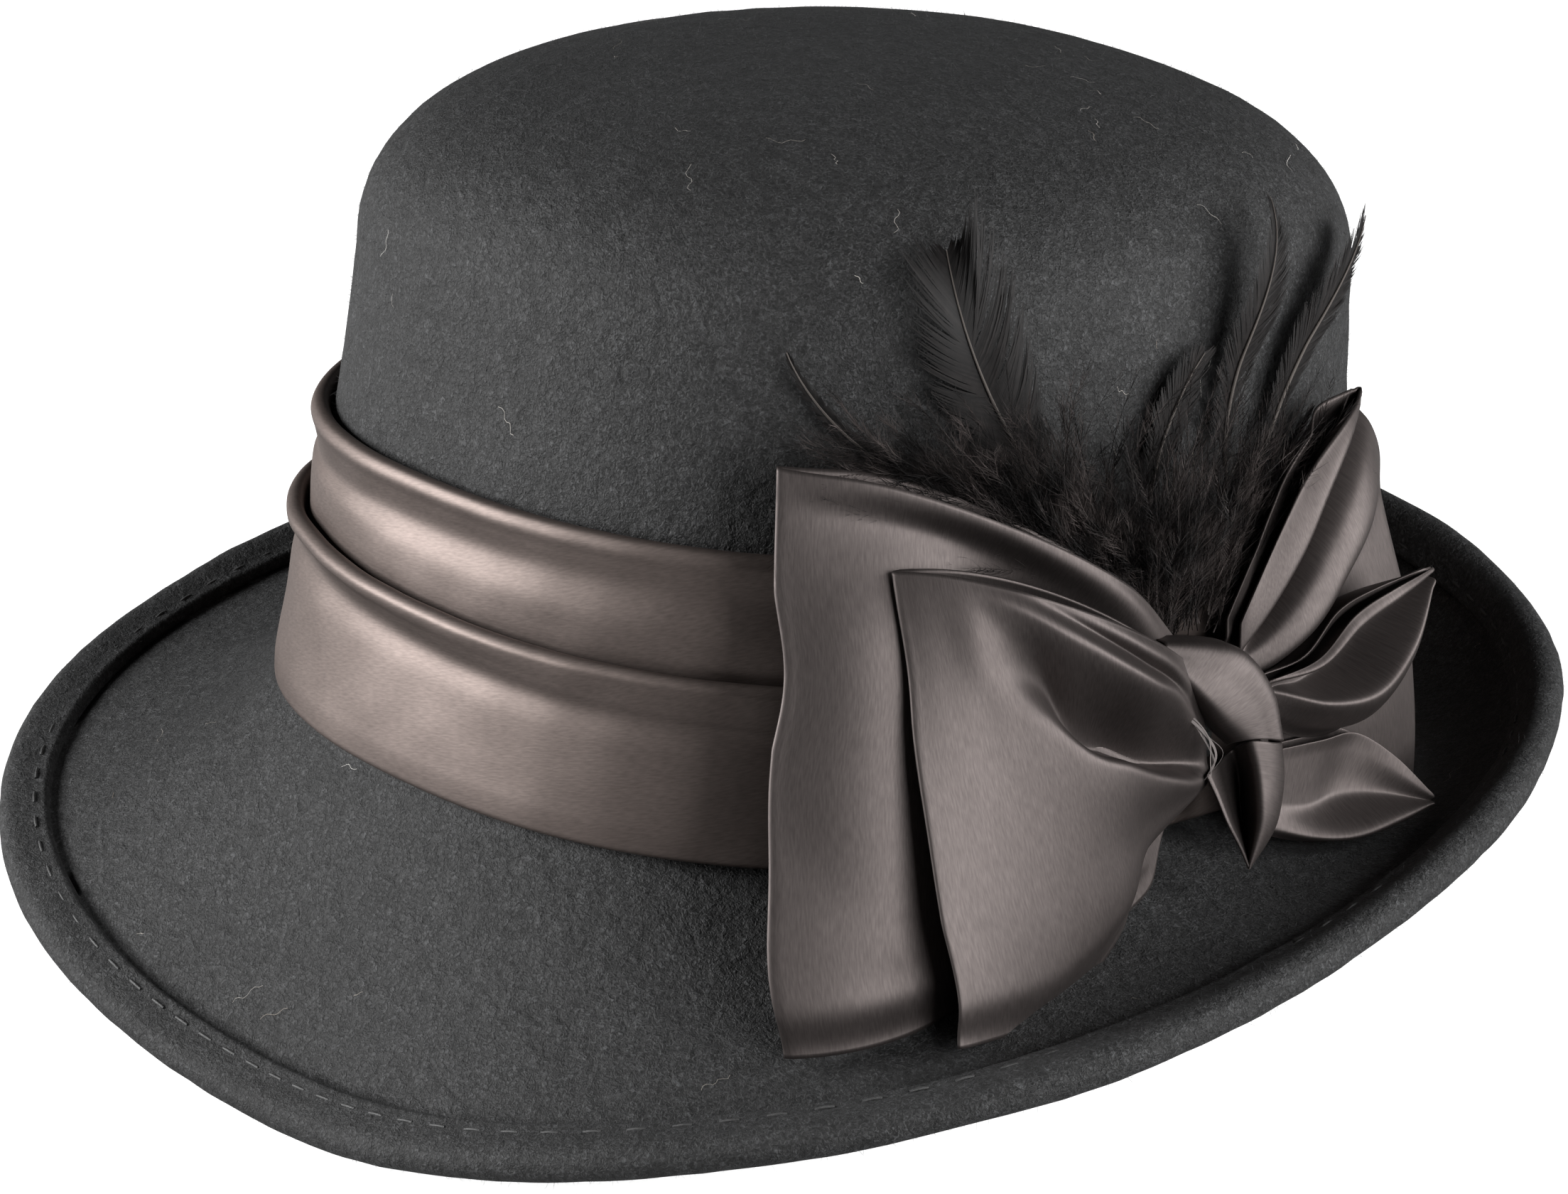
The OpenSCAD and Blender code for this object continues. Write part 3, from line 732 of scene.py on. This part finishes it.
# Bow
def bend(spots, t):
    """Curve through three spots, the middle one halfway."""
    a, m, b = (np.asarray(s, float) for s in spots)
    c = 2.0 * m - (a + b) / 2.0
    t = np.asarray(t, float)[..., None]
    return mix(mix(a, c, t), mix(c, b, t), t)


def edge(spots, t):
    """Edge of a loop through evenly spaced spots."""
    return bend(spots, t) if len(spots) == 3 else curve_through(spots, t)


def through(x, y, at):
    """Smooth values through points that never overshoot between them."""
    h = np.diff(x)
    slope = np.diff(y) / h
    d = np.zeros(len(x))
    same = slope[:-1] * slope[1:] > 0
    w0 = 2 * h[1:] + h[:-1]
    w1 = h[1:] + 2 * h[:-1]
    before = np.where(same, slope[:-1], 1.0)
    after = np.where(same, slope[1:], 1.0)
    d[1:-1][same] = ((w0 + w1) / (w0 / before + w1 / after))[same]
    d[0] = slope[0]
    d[-1] = slope[-1]
    i = np.clip(np.searchsorted(x, at) - 1, 0, len(x) - 2)
    t = (at - x[i]) / h[i]
    return hermite(y[i], h[i] * d[i], y[i + 1], h[i] * d[i + 1], t)


def soften(grid, passes):
    """Evens a grid out with its neighbours, so that a crease gets a round back."""
    for _ in range(passes):
        for axis in (0, 1):
            wide = np.pad(grid, [(1, 1) if k == axis else (0, 0) for k in (0, 1)], mode="edge")
            ahead = np.roll(wide, -1, axis)
            behind = np.roll(wide, 1, axis)
            inner = tuple(slice(1, -1) if k == axis else slice(None) for k in (0, 1))
            grid = ((ahead + 2.0 * wide + behind) / 4.0)[inner]
    return grid


def crease_shape(creases, e, v):
    """Lift and slide of a loop's front at distance e from the knot, through creases that run out from it.

    A crease is (places across, lifts in mm) or (places, lifts, tuck). The places are at even steps from the
    knot to the fold, and so are the lifts, without the first, which is 0. A tuck slides the sunk part of a
    crease under its neighbour, in full where it is sunk by full_tuck.
    """
    full_tuck = 6.0
    below_foot = -0.06
    least_step = 1e-4
    at = np.array([e])
    knots = [(below_foot, 0.0, 0.0)]
    for places, lifts, *tuck in creases:
        lift = float(curve_through([0.0, *lifts], at)[0])
        across = float(curve_through(places, at)[0])
        knots.append((across, lift, sum(tuck) * smooth(-lift / full_tuck)))
    x, lift, slide = np.array(sorted(knots)).T
    x = x + np.arange(len(x)) * least_step
    return through(x, lift, v), through(x, slide, v)


def ribbon_loop(node, top, foot, gap, creases, seed, soft=8, back_swell=0.3, bulge=0.0, wavy=0.6, lobe=0.0):
    """A loop of ribbon: out from the knot as the front, round the fold and back behind.

    e runs from 0 at the knot to 1 at the fold, and v from 0 at the foot to 1 at the top. The back is kept
    behind the deepest part of the front within some samples of it. A lobe lets it hang out below the foot.
    """
    fold_start = 0.975
    near_samples = 7
    clearance = 0.8
    lobe_at = 0.3
    lobe_reach = 0.14
    v = np.linspace(0.0, 1.0, 120)
    out_e = (1.0 - (1.0 - np.linspace(0.0, 1.0, 100)) ** 1.15) * fold_start
    shapes = np.array([crease_shape(creases, e, v) for e in out_e])
    lifts = soften(shapes[:, 0], soft)
    slides = soften(shapes[:, 1], soft)
    phases = np.random.default_rng(seed).uniform(0.0, 6.28, 2)
    ripple = np.sin(v * 9.0 + phases[0]) + 0.5 * np.sin(v * 19.0 + phases[1])
    padded = np.pad(lifts, ((0, 0), (near_samples, near_samples)), mode="edge")
    deepest = np.min([padded[:, k:k + len(v)] for k in range(2 * near_samples + 1)], axis=0)
    behind = soften(deepest, 12) - clearance

    def apart(e):
        return gap * (1.0 - 0.6 * e**4)

    def row(e, offset, slide):
        reach = e + 0.012 * wavy * ripple * e**3
        line = mix(edge(foot, reach), edge(top, reach), (v + slide)[:, None])
        line[:, 2] += offset + bulge * 4.0 * v * (1.0 - v) * e**2
        return line

    rows = [row(e, apart(e) + lift, slide) for e, lift, slide in zip(out_e, lifts, slides)]
    for turn in np.linspace(0.0, math.pi, 12)[1:-1]:
        e = mix(fold_start, 1.0, math.sin(turn))
        rows.append(row(e, apart(e) * math.cos(turn) + lifts[-1], slides[-1]))
    for e, clear in zip(out_e[::-1], behind[::-1]):
        swell = back_swell * math.sin(math.pi * e) * (1.0 - v**10)
        back = np.minimum(lifts[-1] * e**2 - swell, mix(clear, lifts[-1], e**8))
        line = row(e, back - apart(e), np.zeros_like(v))
        drop = lobe * math.exp(-(((e - lobe_at) / lobe_reach) ** 2)) * (1.0 - v) ** 3
        line[:, 1] -= drop
        line[:, 0] += 0.6 * drop
        rows.append(line)
    grid = place(np.array(rows))
    cloth(node + "_satin", node, grid, SATIN_BOW_SHADED, 0.45, "folded", ["satin_hatband_draped"])


def bow_loops():
    """The five loops. Their creases are read off the folds of the real bow, from foot to top."""
    ribbon_loop("bow_back_loop_left",
        rail((-4, 39, 11), (-12.5, 53, 12), (-24, 65, 12), (-36, 73.2, 12.5), (-46.5, 75.2, 13)),
        rail((-4, 16, 11), brim_spot(64, 34, 4), brim_spot(45.5, 46, 4)), 1.2,
        [((0, 0), (-7, -8, -4, -3.5)),
         ((0.03, 0.06, 0.08, 0.1, 0.1), (-7, -7, -0.5, 0)),
         ((0.05, 0.08, 0.12, 0.19, 0.41), (-8, -7.5, -1.5, -3)),
         ((0.4, 0.6, 0.7, 0.72, 0.72), (-8, -6.5, 1, -1)),
         ((0.66, 0.84, 0.915, 0.92, 0.92), (-0.5, -1.5, -1, 0)),
         ((0.85, 0.96, 0.985, 0.99, 0.99), (4, 4.8, 3.4, 1)),
         ((1.04, 1.04), (1, 1.5, 1.5, 0.5))], wavy=1.3, seed=5)
    ribbon_loop("bow_front_loop_left",
        rail((-4.6, 36, 17.5), (-22.5, 55.5, 20.5), (-36, 59.5, 18)),
        rail((-3, 16, 19), (-11.8, 7.5, 26), (-14.6, -5, 31.5), (-21, -15.5, 36), brim_spot(58, 49, 4)), 1.2,
        [((0, 0), (-2, -4.5, -5, -4, -3)),
         ((0, 0.06, 0.1, 0.11, 0.11, 0.11), (0.2, 0.4, 0.6, 0.6, 0.4)),
         ((0.01, 0.15, 0.25, 0.3, 0.35, 0.35), (1.4, 2.4, 2.9, 2.2, 0.9)),
         ((0.02, 0.27, 0.41, 0.51, 0.575, 0.68, 0.74, 0.74, 0.74),
          (3.5, 5, 6, 6, 5.2, 3.9, 2.4, 1.2)),
         ((0.1, 0.33, 0.47, 0.57, 0.64, 0.75, 0.82, 0.82, 0.82),
          (-4, -6.5, -7, -5.5, 0.5, 3.8, 2.3, 1.1), -0.12),
         ((0.42, 0.755, 0.835, 0.89, 0.94, 0.975, 0.98, 0.98, 0.98),
          (5, 9, 9.5, 9, 6.5, 3.6, 2, 1), -0.02),
         ((0.5, 0.785, 0.865, 0.915, 0.955, 0.985, 0.988, 0.988, 0.988),
          (2, 3.5, 4, 4.5, 4, 3, 1.8, 1)),
         ((0.62, 0.885, 0.94, 0.965, 0.985, 1, 1, 1, 1),
          (4.5, 6.5, 6.5, 6, 4.5, 2.8, 1.6, 1)),
         ((1.04, 1.04), (2, 2.5, 2, 1, 0.5))],
        soft=5, back_swell=4.6, wavy=0.5, lobe=5, seed=6)
    ribbon_loop("bow_upper_loop_right",
        rail((4, 40, 12), (9, 57.5, 12), (13, 66, 11), (19, 72.5, 10), (26.5, 75, 8)),
        rail((4.5, 22, 11), brim_spot(106, 14, 7), brim_spot(115.5, 19, 4)), 1.2,
        [((0, 0), (0.3, 0.3)), ((0.15, 0.2, 0.25, 0.3, 0.35), (1, 1.5, 1.5, 0.5)),
         ((0.34, 0.44, 0.555, 0.635, 0.74), (-1, -1.5, -1, 0)),
         ((0.45, 0.58, 0.7, 0.78, 0.88), (5, 6, 5, 1.5)),
         ((0.57, 0.7, 0.8, 0.87, 0.93), (3.5, 4, 3.5, 1)),
         ((0.63, 0.77, 0.86, 0.92, 0.96), (-4, -5.5, -4, -1), 0.02),
         ((0.72, 0.83, 0.905, 0.955, 0.985), (3.5, 4.5, 4, 1.5)),
         ((1.04, 1.04), (0.5, 0.5, 0.5, 0.3))], soft=4, bulge=3, seed=7)
    ribbon_loop("bow_middle_loop_right",
        rail((5, 30.5, 17.5), (9.5, 34, 20.5), (12.7, 41.5, 22.5), (16, 45.5, 26), (22.3, 46.8, 28)),
        rail((5, 23, 16), (10, 18, 18), (15.5, 18, 21), (19.3, 26, 24.5), (22.4, 42.5, 27.5)), 1,
        [((0, 0), (-1, -2, -1.5, 0)),
         ((0.3, 0.22, 0.13, 0.16, 0.2), (2, 3, 2.5, 0.5)),
         ((0.75, 0.52, 0.37, 0.43, 0.45), (4.5, 6, 5, 1)),
         ((0.82, 0.62, 0.5, 0.55, 0.57), (-3, -5, -5, -0.5), 0.04),
         ((0.9, 0.82, 0.8, 0.8, 0.8), (-3.5, -5.5, -5.5, -0.5), 0.03),
         ((0.95, 0.92, 0.92, 0.92, 0.92), (2, 3, 2.5, 0.8), -0.03),
         ((1.04, 1.04), (0, 0.5, 0.5, 0.2))], soft=4, wavy=0.2, seed=8)
    ribbon_loop("bow_lower_loop_right",
        rail((5, 17, 17), (11.5, 17.5, 20), (15.5, 17.5, 22), (18, 13, 27), (20.6, 5.2, 33)),
        rail((5, 2, 18), (9, -0.5, 21), (12.5, -1.5, 25), (16.5, -0.5, 29), (20.3, 3.4, 32.7)), 0.9,
        [((0, 0), (-1.5, -2.5, -2, 0)),
         ((0.1, 0.08, 0.13, 0.25, 0.3), (3, 4, 3, 0.5)),
         ((0.4, 0.36, 0.42, 0.5, 0.5), (-1, -3, -2, 0)),
         ((0.85, 0.85), (-0.5, -1, 0, 0.3)), ((1.04, 1.04), (0.5, 0.5, 0))],
        soft=6, wavy=0.2, seed=9)


def lofted(rails, steps_along, steps_across):
    """A smooth sheet through rails, which are lists of evenly spaced spots."""
    along = np.linspace(0.0, 1.0, steps_along)
    lines = np.array([curve_through(line, along) for line in rails])
    across = np.linspace(0.0, 1.0, steps_across)
    return place(np.array([curve_through(lines[:, k], across) for k in range(steps_along)]))


def bow_knot():
    """Broad strip that wraps the gathered middle, from behind at the upper left down to the seam."""
    behind_top = rail((-8.5, 41.5, 13), (-4, 41, 15.5), (0, 38.6, 17.5), (3.5, 31, 18.5), (5, 22, 19.5))
    upper = rail((-8.5, 42, 18), (-4.3, 41, 20.8), (-0.9, 38.8, 23.2), (1.5, 32, 25.6), (2.1, 23.5, 27.5))
    face = rail((-9, 41, 19), (-5.8, 38.8, 22), (-3.4, 35.8, 24.3), (-0.9, 30.2, 26.1), (0.5, 24.2, 27.3))
    ridge = rail((-9, 40, 19.5), (-7.1, 36.5, 22.3), (-5.4, 33, 24.4), (-3.4, 29, 25.8), (-1.4, 24.8, 26.6))
    roll = rail((-8.5, 39, 18.5), (-7, 35.2, 20.7), (-5.5, 31.5, 22.3), (-3.9, 27.5, 23.5), (-2, 23.9, 24.3))
    under = rail((-7, 37.5, 15.5), (-5.9, 33.5, 17), (-4.4, 29, 18.3), (-2.5, 24.7, 19), (-0.5, 21.3, 19.5))
    grid = lofted([behind_top, upper, face, ridge, roll, under], 70, 61)
    cloth("bow_knot_wrap", "bow_knot", grid, SATIN_BOW_SHADED, 0.5, "gathered",
          ["bow_front_loop_left_satin", "bow_middle_loop_right_satin"])


def bow_tail():
    """Pointed end of the strip below the seam, folded like a cone with its hollow to the left."""
    tip = (-0.9, 0.8, 27.5)
    rim = rail((-4.5, 18, 22.5), (-4, 14.4, 24.5), (-3.3, 9.8, 26.3), (-2, 5, 27.2), tip)
    hollow = rail((0, 20, 19.5), (1.4, 14.2, 19), (1.6, 9.5, 19.5), (1, 5, 22), tip)
    ridge = rail((-1, 24.1, 25.8), (-0.6, 19, 26.8), (-0.5, 14, 27.6), (-0.5, 8.8, 28), tip)
    right = rail((2.4, 22.6, 26.5), (2.4, 17, 27.5), (1.7, 11.5, 28.5), (0.9, 7.3, 28.7), tip)
    behind = rail((5.2, 20.5, 19), (5.2, 15, 21), (4.2, 10, 23), (2.6, 6, 25), tip)
    grid = lofted([rim, hollow, ridge, right, behind], 50, 41)
    cloth("bow_tail_folded", "bow_tail", grid, SATIN_BOW_SHADED, 0.45, "folded", ["bow_knot_wrap"],
          flat=(0.035, 0.028), area=0.0006)


def pad(name, node, angles, heights, d, thickness, look, slot):
    """A flat patch that follows the crown, with rounded edges."""
    a = np.linspace(*angles, 41)
    z = np.linspace(*heights, 15)
    grid = wall(BOW_ANGLE + a[None, :], z[:, None], d)
    patch = piece(name, grid, grid_faces(*grid.shape[:2]), look, slot, node=node)
    thicken(patch, thickness)
    bevel = patch.modifiers.new("edge", "BEVEL")
    bevel.width = 0.3 * thickness * MM
    bevel.segments = 3
    bevel.limit_method = "ANGLE"


bow_loops()
bow_knot()
bow_tail()
pad("bow_pad_buckram", "bow_pad", (-5.0, 5.0), (13.0, 35.0), 5.4, 2.0, BUCKRAM, "backing")
pad("feather_pad_felt", "feather_pad", (-22.0, 16.0), (FEATHER_Z, FEATHER_Z + 9.0), 0.9, 1.2, FELT, "felt")


# Feathers
def frayed_threads():
    """Loose ends of thread that hang between the knot and the front loop."""
    strips = Strips()
    rng = np.random.default_rng(31)
    at = np.linspace(0.0, 1.0, 24)
    hang = rail((-8, 29.3, 22.5), (-7, 29.3, 23.5), (-6, 26, 24.8), (-4.6, 22, 25.2), (-4.4, 18, 23))
    for width in (0.24, 0.16, 0.12, 0.08, 0.06):
        line = place(curve_through(np.array(hang) + rng.normal(size=(len(hang), 3)) * 0.35, at))
        run = unit(np.gradient(line, axis=0))
        out = unit(line * [1.0, 1.0, 0.0])
        strips.add(line, unit(np.cross(run, out)) * width)
    strips.make("bow_knot_frayed_threads", FRAY, "thread")


def quill(spots, t):
    """Points of a feather's quill, whose spots have their heights above the feather pad's foot."""
    s = bend(spots, t)
    return wall(BOW_ANGLE + s[..., 0], FEATHER_Z + s[..., 1], s[..., 2])


def vane(t, bare):
    """Half width of the vane along the feather, as a part of its widest."""
    f = np.clip((t - bare) / (1.0 - bare), 0.0, 1.0)
    return 0.05 + 0.95 * np.sin(math.pi * f**0.75).clip(0.0) ** 0.8


def plume(name, body, spots, left, right, bare, seed, barbs=120, ragged=0.25):
    """A feather: a shaft, and barbs that leave it at a slant, clumped and split as real ones are.

    left and right are the vane's half widths, and bare is the part of the quill without barbs.
    """
    root_lean, tip_lean = 1.05, 0.45
    split_chance, split_lean = 0.09, 0.09
    rng = np.random.default_rng(seed)
    t = np.linspace(0.0, 1.0, 40)
    line = quill(spots, t)
    shaft = Strips()
    shaft.tube(line + unit(line * [1.0, 1.0, 0.0]) * 0.3, mix(SHAFT_D * 0.36, 0.1, t))
    shaft.make(name + "_shaft", SHAFT, "feather", body=body)
    clump = np.cumsum(rng.uniform(0.0, 1.0, barbs) < split_chance)
    clump_lean = rng.normal(size=clump.max() + 2) * split_lean
    strips = Strips()
    s = np.linspace(0.0, 1.0, 7)
    spacing = np.linalg.norm(line[-1] - line[0]) / barbs
    half = (spacing * 0.95 * (1.0 - 0.8 * s**3))[:, None]
    for side, half_width in ((-1.0, left), (1.0, right)):
        for k, at in enumerate(np.linspace(bare, 0.985, barbs)):
            root = quill(spots, at)
            run = unit(quill(spots, at + 0.01) - quill(spots, at - 0.01))
            _, out_xy = oval(BOW_ANGLE + bend(spots, at)[0])
            across = unit(np.cross(np.array([*out_xy, 0.0]), run)) * side
            out = np.cross(run, across) * side
            width = half_width * float(vane(at, bare)) * rng.uniform(1.0 - ragged, 1.0)
            lean = mix(root_lean, tip_lean, at) + clump_lean[clump[k]] + rng.normal() * 0.03
            heading = lean * (1.0 - 0.38 * s[:-1])
            step = width / max(math.sin(lean), 0.3) / len(heading)
            x = np.concatenate([[0.0], np.cumsum(np.sin(heading) * step)])
            y = np.concatenate([[0.0], np.cumsum(np.cos(heading) * step)])
            arch = (0.55 * np.sin(math.pi * s) - 0.35 * s**2) * width / 12.0 + rng.normal() * 0.12 * s
            barb = root + across * x[:, None] + run * y[:, None] + out * arch[:, None]
            strips.add(barb, (run * math.cos(0.5) - across * 0.3) * half)
    strips.make(name + "_barbs", FEATHER, "feather", body=body, node=name)


def plumes():
    """The six feathers. The first four sway on bodies of their own."""
    q = QUILL_D
    plume("plume_wisp", "wisp_feather",
          rail((-19, 4, q), (-36.5, 17, q + 0.2), (-46.5, 35, q + 0.6)), 2.2, 2.4, 0.15, 41, 90, 0.6)
    plume("plume_broad", "broad_feather",
          rail((-15, 4, q), (-25.5, 29, q + 1), (-30.5, 52, q + 3.5)), 15, 11, 0.1, 42, 200)
    plume("plume_tall", "tall_feather",
          rail((8, 4, q), (8, 30, q + 2.5), (16, 55, q + 9)), 8, 7, 0.12, 43, 170)
    plume("plume_right", "right_feather",
          rail((13, 4, q), (21.5, 29, q + 1.4), (36, 46, q + 5)), 7, 8, 0.12, 44, 170)
    plume("plume_small", "hat",
          rail((-4, 4, q), (-2, 18, q + 0.5), (2, 31, q + 2)), 7, 6, 0.1, 45, 90, 0.4)
    plume("plume_low", "hat",
          rail((15, 2, q), (17.5, 9, q + 1.9), (21, 16, q + 2.8)), 2.5, 2.5, 0.2, 46, 60, 0.4)


def fluff_root(da):
    """Foot height, lean and greatest length of the down, which rises from behind the bow's upper edge."""
    at = [-30.0, -22.0, -12.0, -4.0, 4.0, 9.0]
    height = np.interp(da, at, [65.0, 59.0, 46.0, 34.0, 34.0, 46.0])
    lean = np.interp(da, at, [-1.3, -1.05, -0.75, -0.3, 0.15, 0.3])
    longest = np.interp(da, [-30.0, -14.0, -4.0, 6.0, 10.0], [28.0, 44.0, 50.0, 46.0, 36.0])
    return height, lean, longest


def marabou(node, first, last, count, seed):
    """A tuft of down: small soft plumes that fan out, each with fine wavy barbs along its quill."""
    rng = np.random.default_rng(seed)
    furthest = 20.0
    shortest = 16.0
    strips = Strips()
    s = np.linspace(0.0, 1.0, 14)
    hair = np.linspace(0.0, 1.0, 5)
    for _ in range(count):
        da = rng.uniform(first, last)
        root_z, lean, longest = fluff_root(da)
        length = rng.uniform(shortest, longest)
        tilt = lean + rng.normal() * 0.28 + rng.normal() * 0.45 * s
        along = np.cumsum(np.sin(tilt)) * length / len(s)
        rise = np.cumsum(np.cos(tilt)) * length / len(s)
        d = rng.uniform(3.5, 8.5) + rng.uniform(0.0, 8.0) * s**1.2
        z = root_z + rng.uniform(0.0, 7.0) + rise
        line = place(np.stack([np.minimum(da + np.degrees(along / CROWN_AX), furthest), z, d], -1))
        run = unit(np.gradient(line, axis=0))
        side = unit(np.cross(run, rng.normal(size=3)))
        strips.add(line, side * (0.12 * (1.0 - 0.7 * s))[:, None])
        for at in np.linspace(0.06, 1.0, 38):
            p = np.array([np.interp(at, s, line[:, axis]) for axis in range(3)])
            k = min(int(at * len(s)), len(s) - 1)
            r = run[k]
            for turn in (-1.0, 1.0):
                across = unit(turn * side[k] + rng.normal(size=3) * 0.35)
                reach = rng.uniform(2.4, 5.0) * math.sqrt(math.sin(math.pi * min(0.12 + 0.8 * at, 0.97)))
                droop = rng.normal(size=3) * 0.22
                straight = (across * 0.7 + r * 0.7) * (hair * reach)[:, None]
                bent = (r * 0.45 + droop) * (hair**2 * reach)[:, None]
                strips.add(p + straight + bent, np.cross(across, r) * (0.07 * (1.0 - 0.75 * hair))[:, None])
    strips.make(node + "_down", DOWN, "down", node=node)


frayed_threads()
plumes()
marabou("marabou_left", -30.0, -13.0, 130, 51)
marabou("marabou_centre", -14.0, -3.0, 170, 52)
marabou("marabou_right", -4.0, 10.0, 160, 53)


# Camera, as fitted to the photograph's outline
CAMERA_AZIMUTH = 45.83
CAMERA_ELEVATION = 18.39
CAMERA_ROLL = -4.31
CAMERA_SHIFT_X = 7.868
CAMERA_SHIFT_Y = -16.4
CAMERA_DISTANCE = 993.07
FOCAL_PIXELS = 7267.3


def direction(turn, rise):
    """Direction out from the hat at an angle round it and an elevation, in radians."""
    return Vector((math.sin(turn) * math.cos(rise), -math.cos(turn) * math.cos(rise), math.sin(rise)))


def camera():
    """Camera at the fitted place, which looks at the hat."""
    az, el, roll = (math.radians(x) for x in (CAMERA_AZIMUTH, CAMERA_ELEVATION, CAMERA_ROLL))
    back = direction(az, el)
    level = Vector((math.cos(az), math.sin(az), 0.0))
    up = back.cross(level)
    right = level * math.cos(roll) - up * math.sin(roll)
    top = level * math.sin(roll) + up * math.cos(roll)
    place_at = (back * CAMERA_DISTANCE - right * CAMERA_SHIFT_X - top * CAMERA_SHIFT_Y) * MM
    data = bpy.data.cameras.new("camera")
    data.sensor_width = 36.0
    data.lens = FOCAL_PIXELS / IMAGE_W * data.sensor_width
    data.clip_start = 0.01
    obj = new_object("camera", data)
    obj.matrix_world = Matrix.Translation(place_at) @ Matrix((right, top, back)).transposed().to_4x4()
    bpy.context.scene.camera = obj


LAMP_DISTANCE = 1.1
LAMP_SIZE = 0.6
LAMP_AIM = (0.0, 0.0, 0.05)
# Angle round the hat, elevation and watts of each lamp
LAMPS = {"left": (-38.0, 10.0, 25.0), "right": (84.0, 10.0, 12.5), "back": (128.0, 18.0, 13.0)}


def area_light(name, angle, elevation, watts):
    """A soft square lamp at an angle round the hat, that looks at its middle."""
    data = bpy.data.lights.new(name, "AREA")
    data.shape = "SQUARE"
    data.size = LAMP_SIZE
    data.energy = watts
    obj = new_object(name, data)
    heading = direction(math.radians(angle), math.radians(elevation))
    obj.location = Vector(LAMP_AIM) + heading * LAMP_DISTANCE
    obj.rotation_mode = "QUATERNION"
    obj.rotation_quaternion = heading.to_track_quat("Z", "Y")


def rest_plane(rows):
    """Slope and height of the floor that the hat rests on, which touches its profile from below."""
    profile = rows.reshape(-1, 3)[:, 1:]
    best = None
    for slope in np.linspace(-0.4, 0.4, 161):
        low = (profile[:, 1] - slope * profile[:, 0]).min()
        if best is None or low > best[1]:
            best = (slope, low)
    return best


def floor_material():
    """Pale floor that shows white to the camera and keeps the hat's shadow."""
    look = Look("floor", Base_Color=(0.35, 0.35, 0.35, 1.0), Roughness=0.9, Specular_IOR_Level=0.0)
    seen = look.add("ShaderNodeLightPath").outputs["Is Camera Ray"]
    glow = look.add("ShaderNodeEmission", {"Strength": 0.9})
    lit = look.add("ShaderNodeBsdfDiffuse", {"Color": (0.4, 0.4, 0.4, 1.0)})
    bright = look.add("ShaderNodeAddShader", {0: glow.outputs[0], 1: lit.outputs[0]})
    both = look.add("ShaderNodeMixShader", {0: seen, 1: look.shader.outputs[0], 2: bright.outputs[0]})
    look.tree.links.new(both.outputs[0], look.tree.nodes["Material Output"].inputs["Surface"])
    return look.material


def stage(rows):
    """The floor, just below the hat's lowest edge."""
    slope, height = rest_plane(rows)
    reach = 3000.0
    corners = np.array([(x, y, slope * y + height - 0.2) for x, y in
                        ((-reach, -reach), (reach, -reach), (reach, reach), (-reach, reach))])
    mesh = bpy.data.meshes.new("floor")
    mesh.from_pydata((corners * MM).tolist(), [], [[0, 1, 2, 3]])
    mesh.materials.append(floor_material())
    floor = new_object("floor", mesh)


def studio():
    """A white world seen by the camera, a dimmer one that lights, and the soft lamps."""
    world = bpy.data.worlds.new("studio")
    bpy.context.scene.world = world
    world.use_nodes = True
    tree = world.node_tree
    dim = tree.nodes["Background"]
    dim.inputs["Color"].default_value = (1.0, 1.0, 1.0, 1.0)
    dim.inputs["Strength"].default_value = 0.03
    white = tree.nodes.new("ShaderNodeBackground")
    white.inputs["Strength"].default_value = 1.0
    white.inputs["Color"].default_value = (1.0, 1.0, 1.0, 1.0)
    path = tree.nodes.new("ShaderNodeLightPath")
    both = tree.nodes.new("ShaderNodeMixShader")
    for socket, output in enumerate((path.outputs["Is Camera Ray"], dim.outputs[0], white.outputs[0])):
        tree.links.new(output, both.inputs[socket])
    tree.links.new(both.outputs[0], tree.nodes["World Output"].inputs["Surface"])
    for name, lamp in LAMPS.items():
        area_light(name, *lamp)


camera()
stage(felt)
studio()

bpy.context.scene.view_settings.view_transform = "Standard"
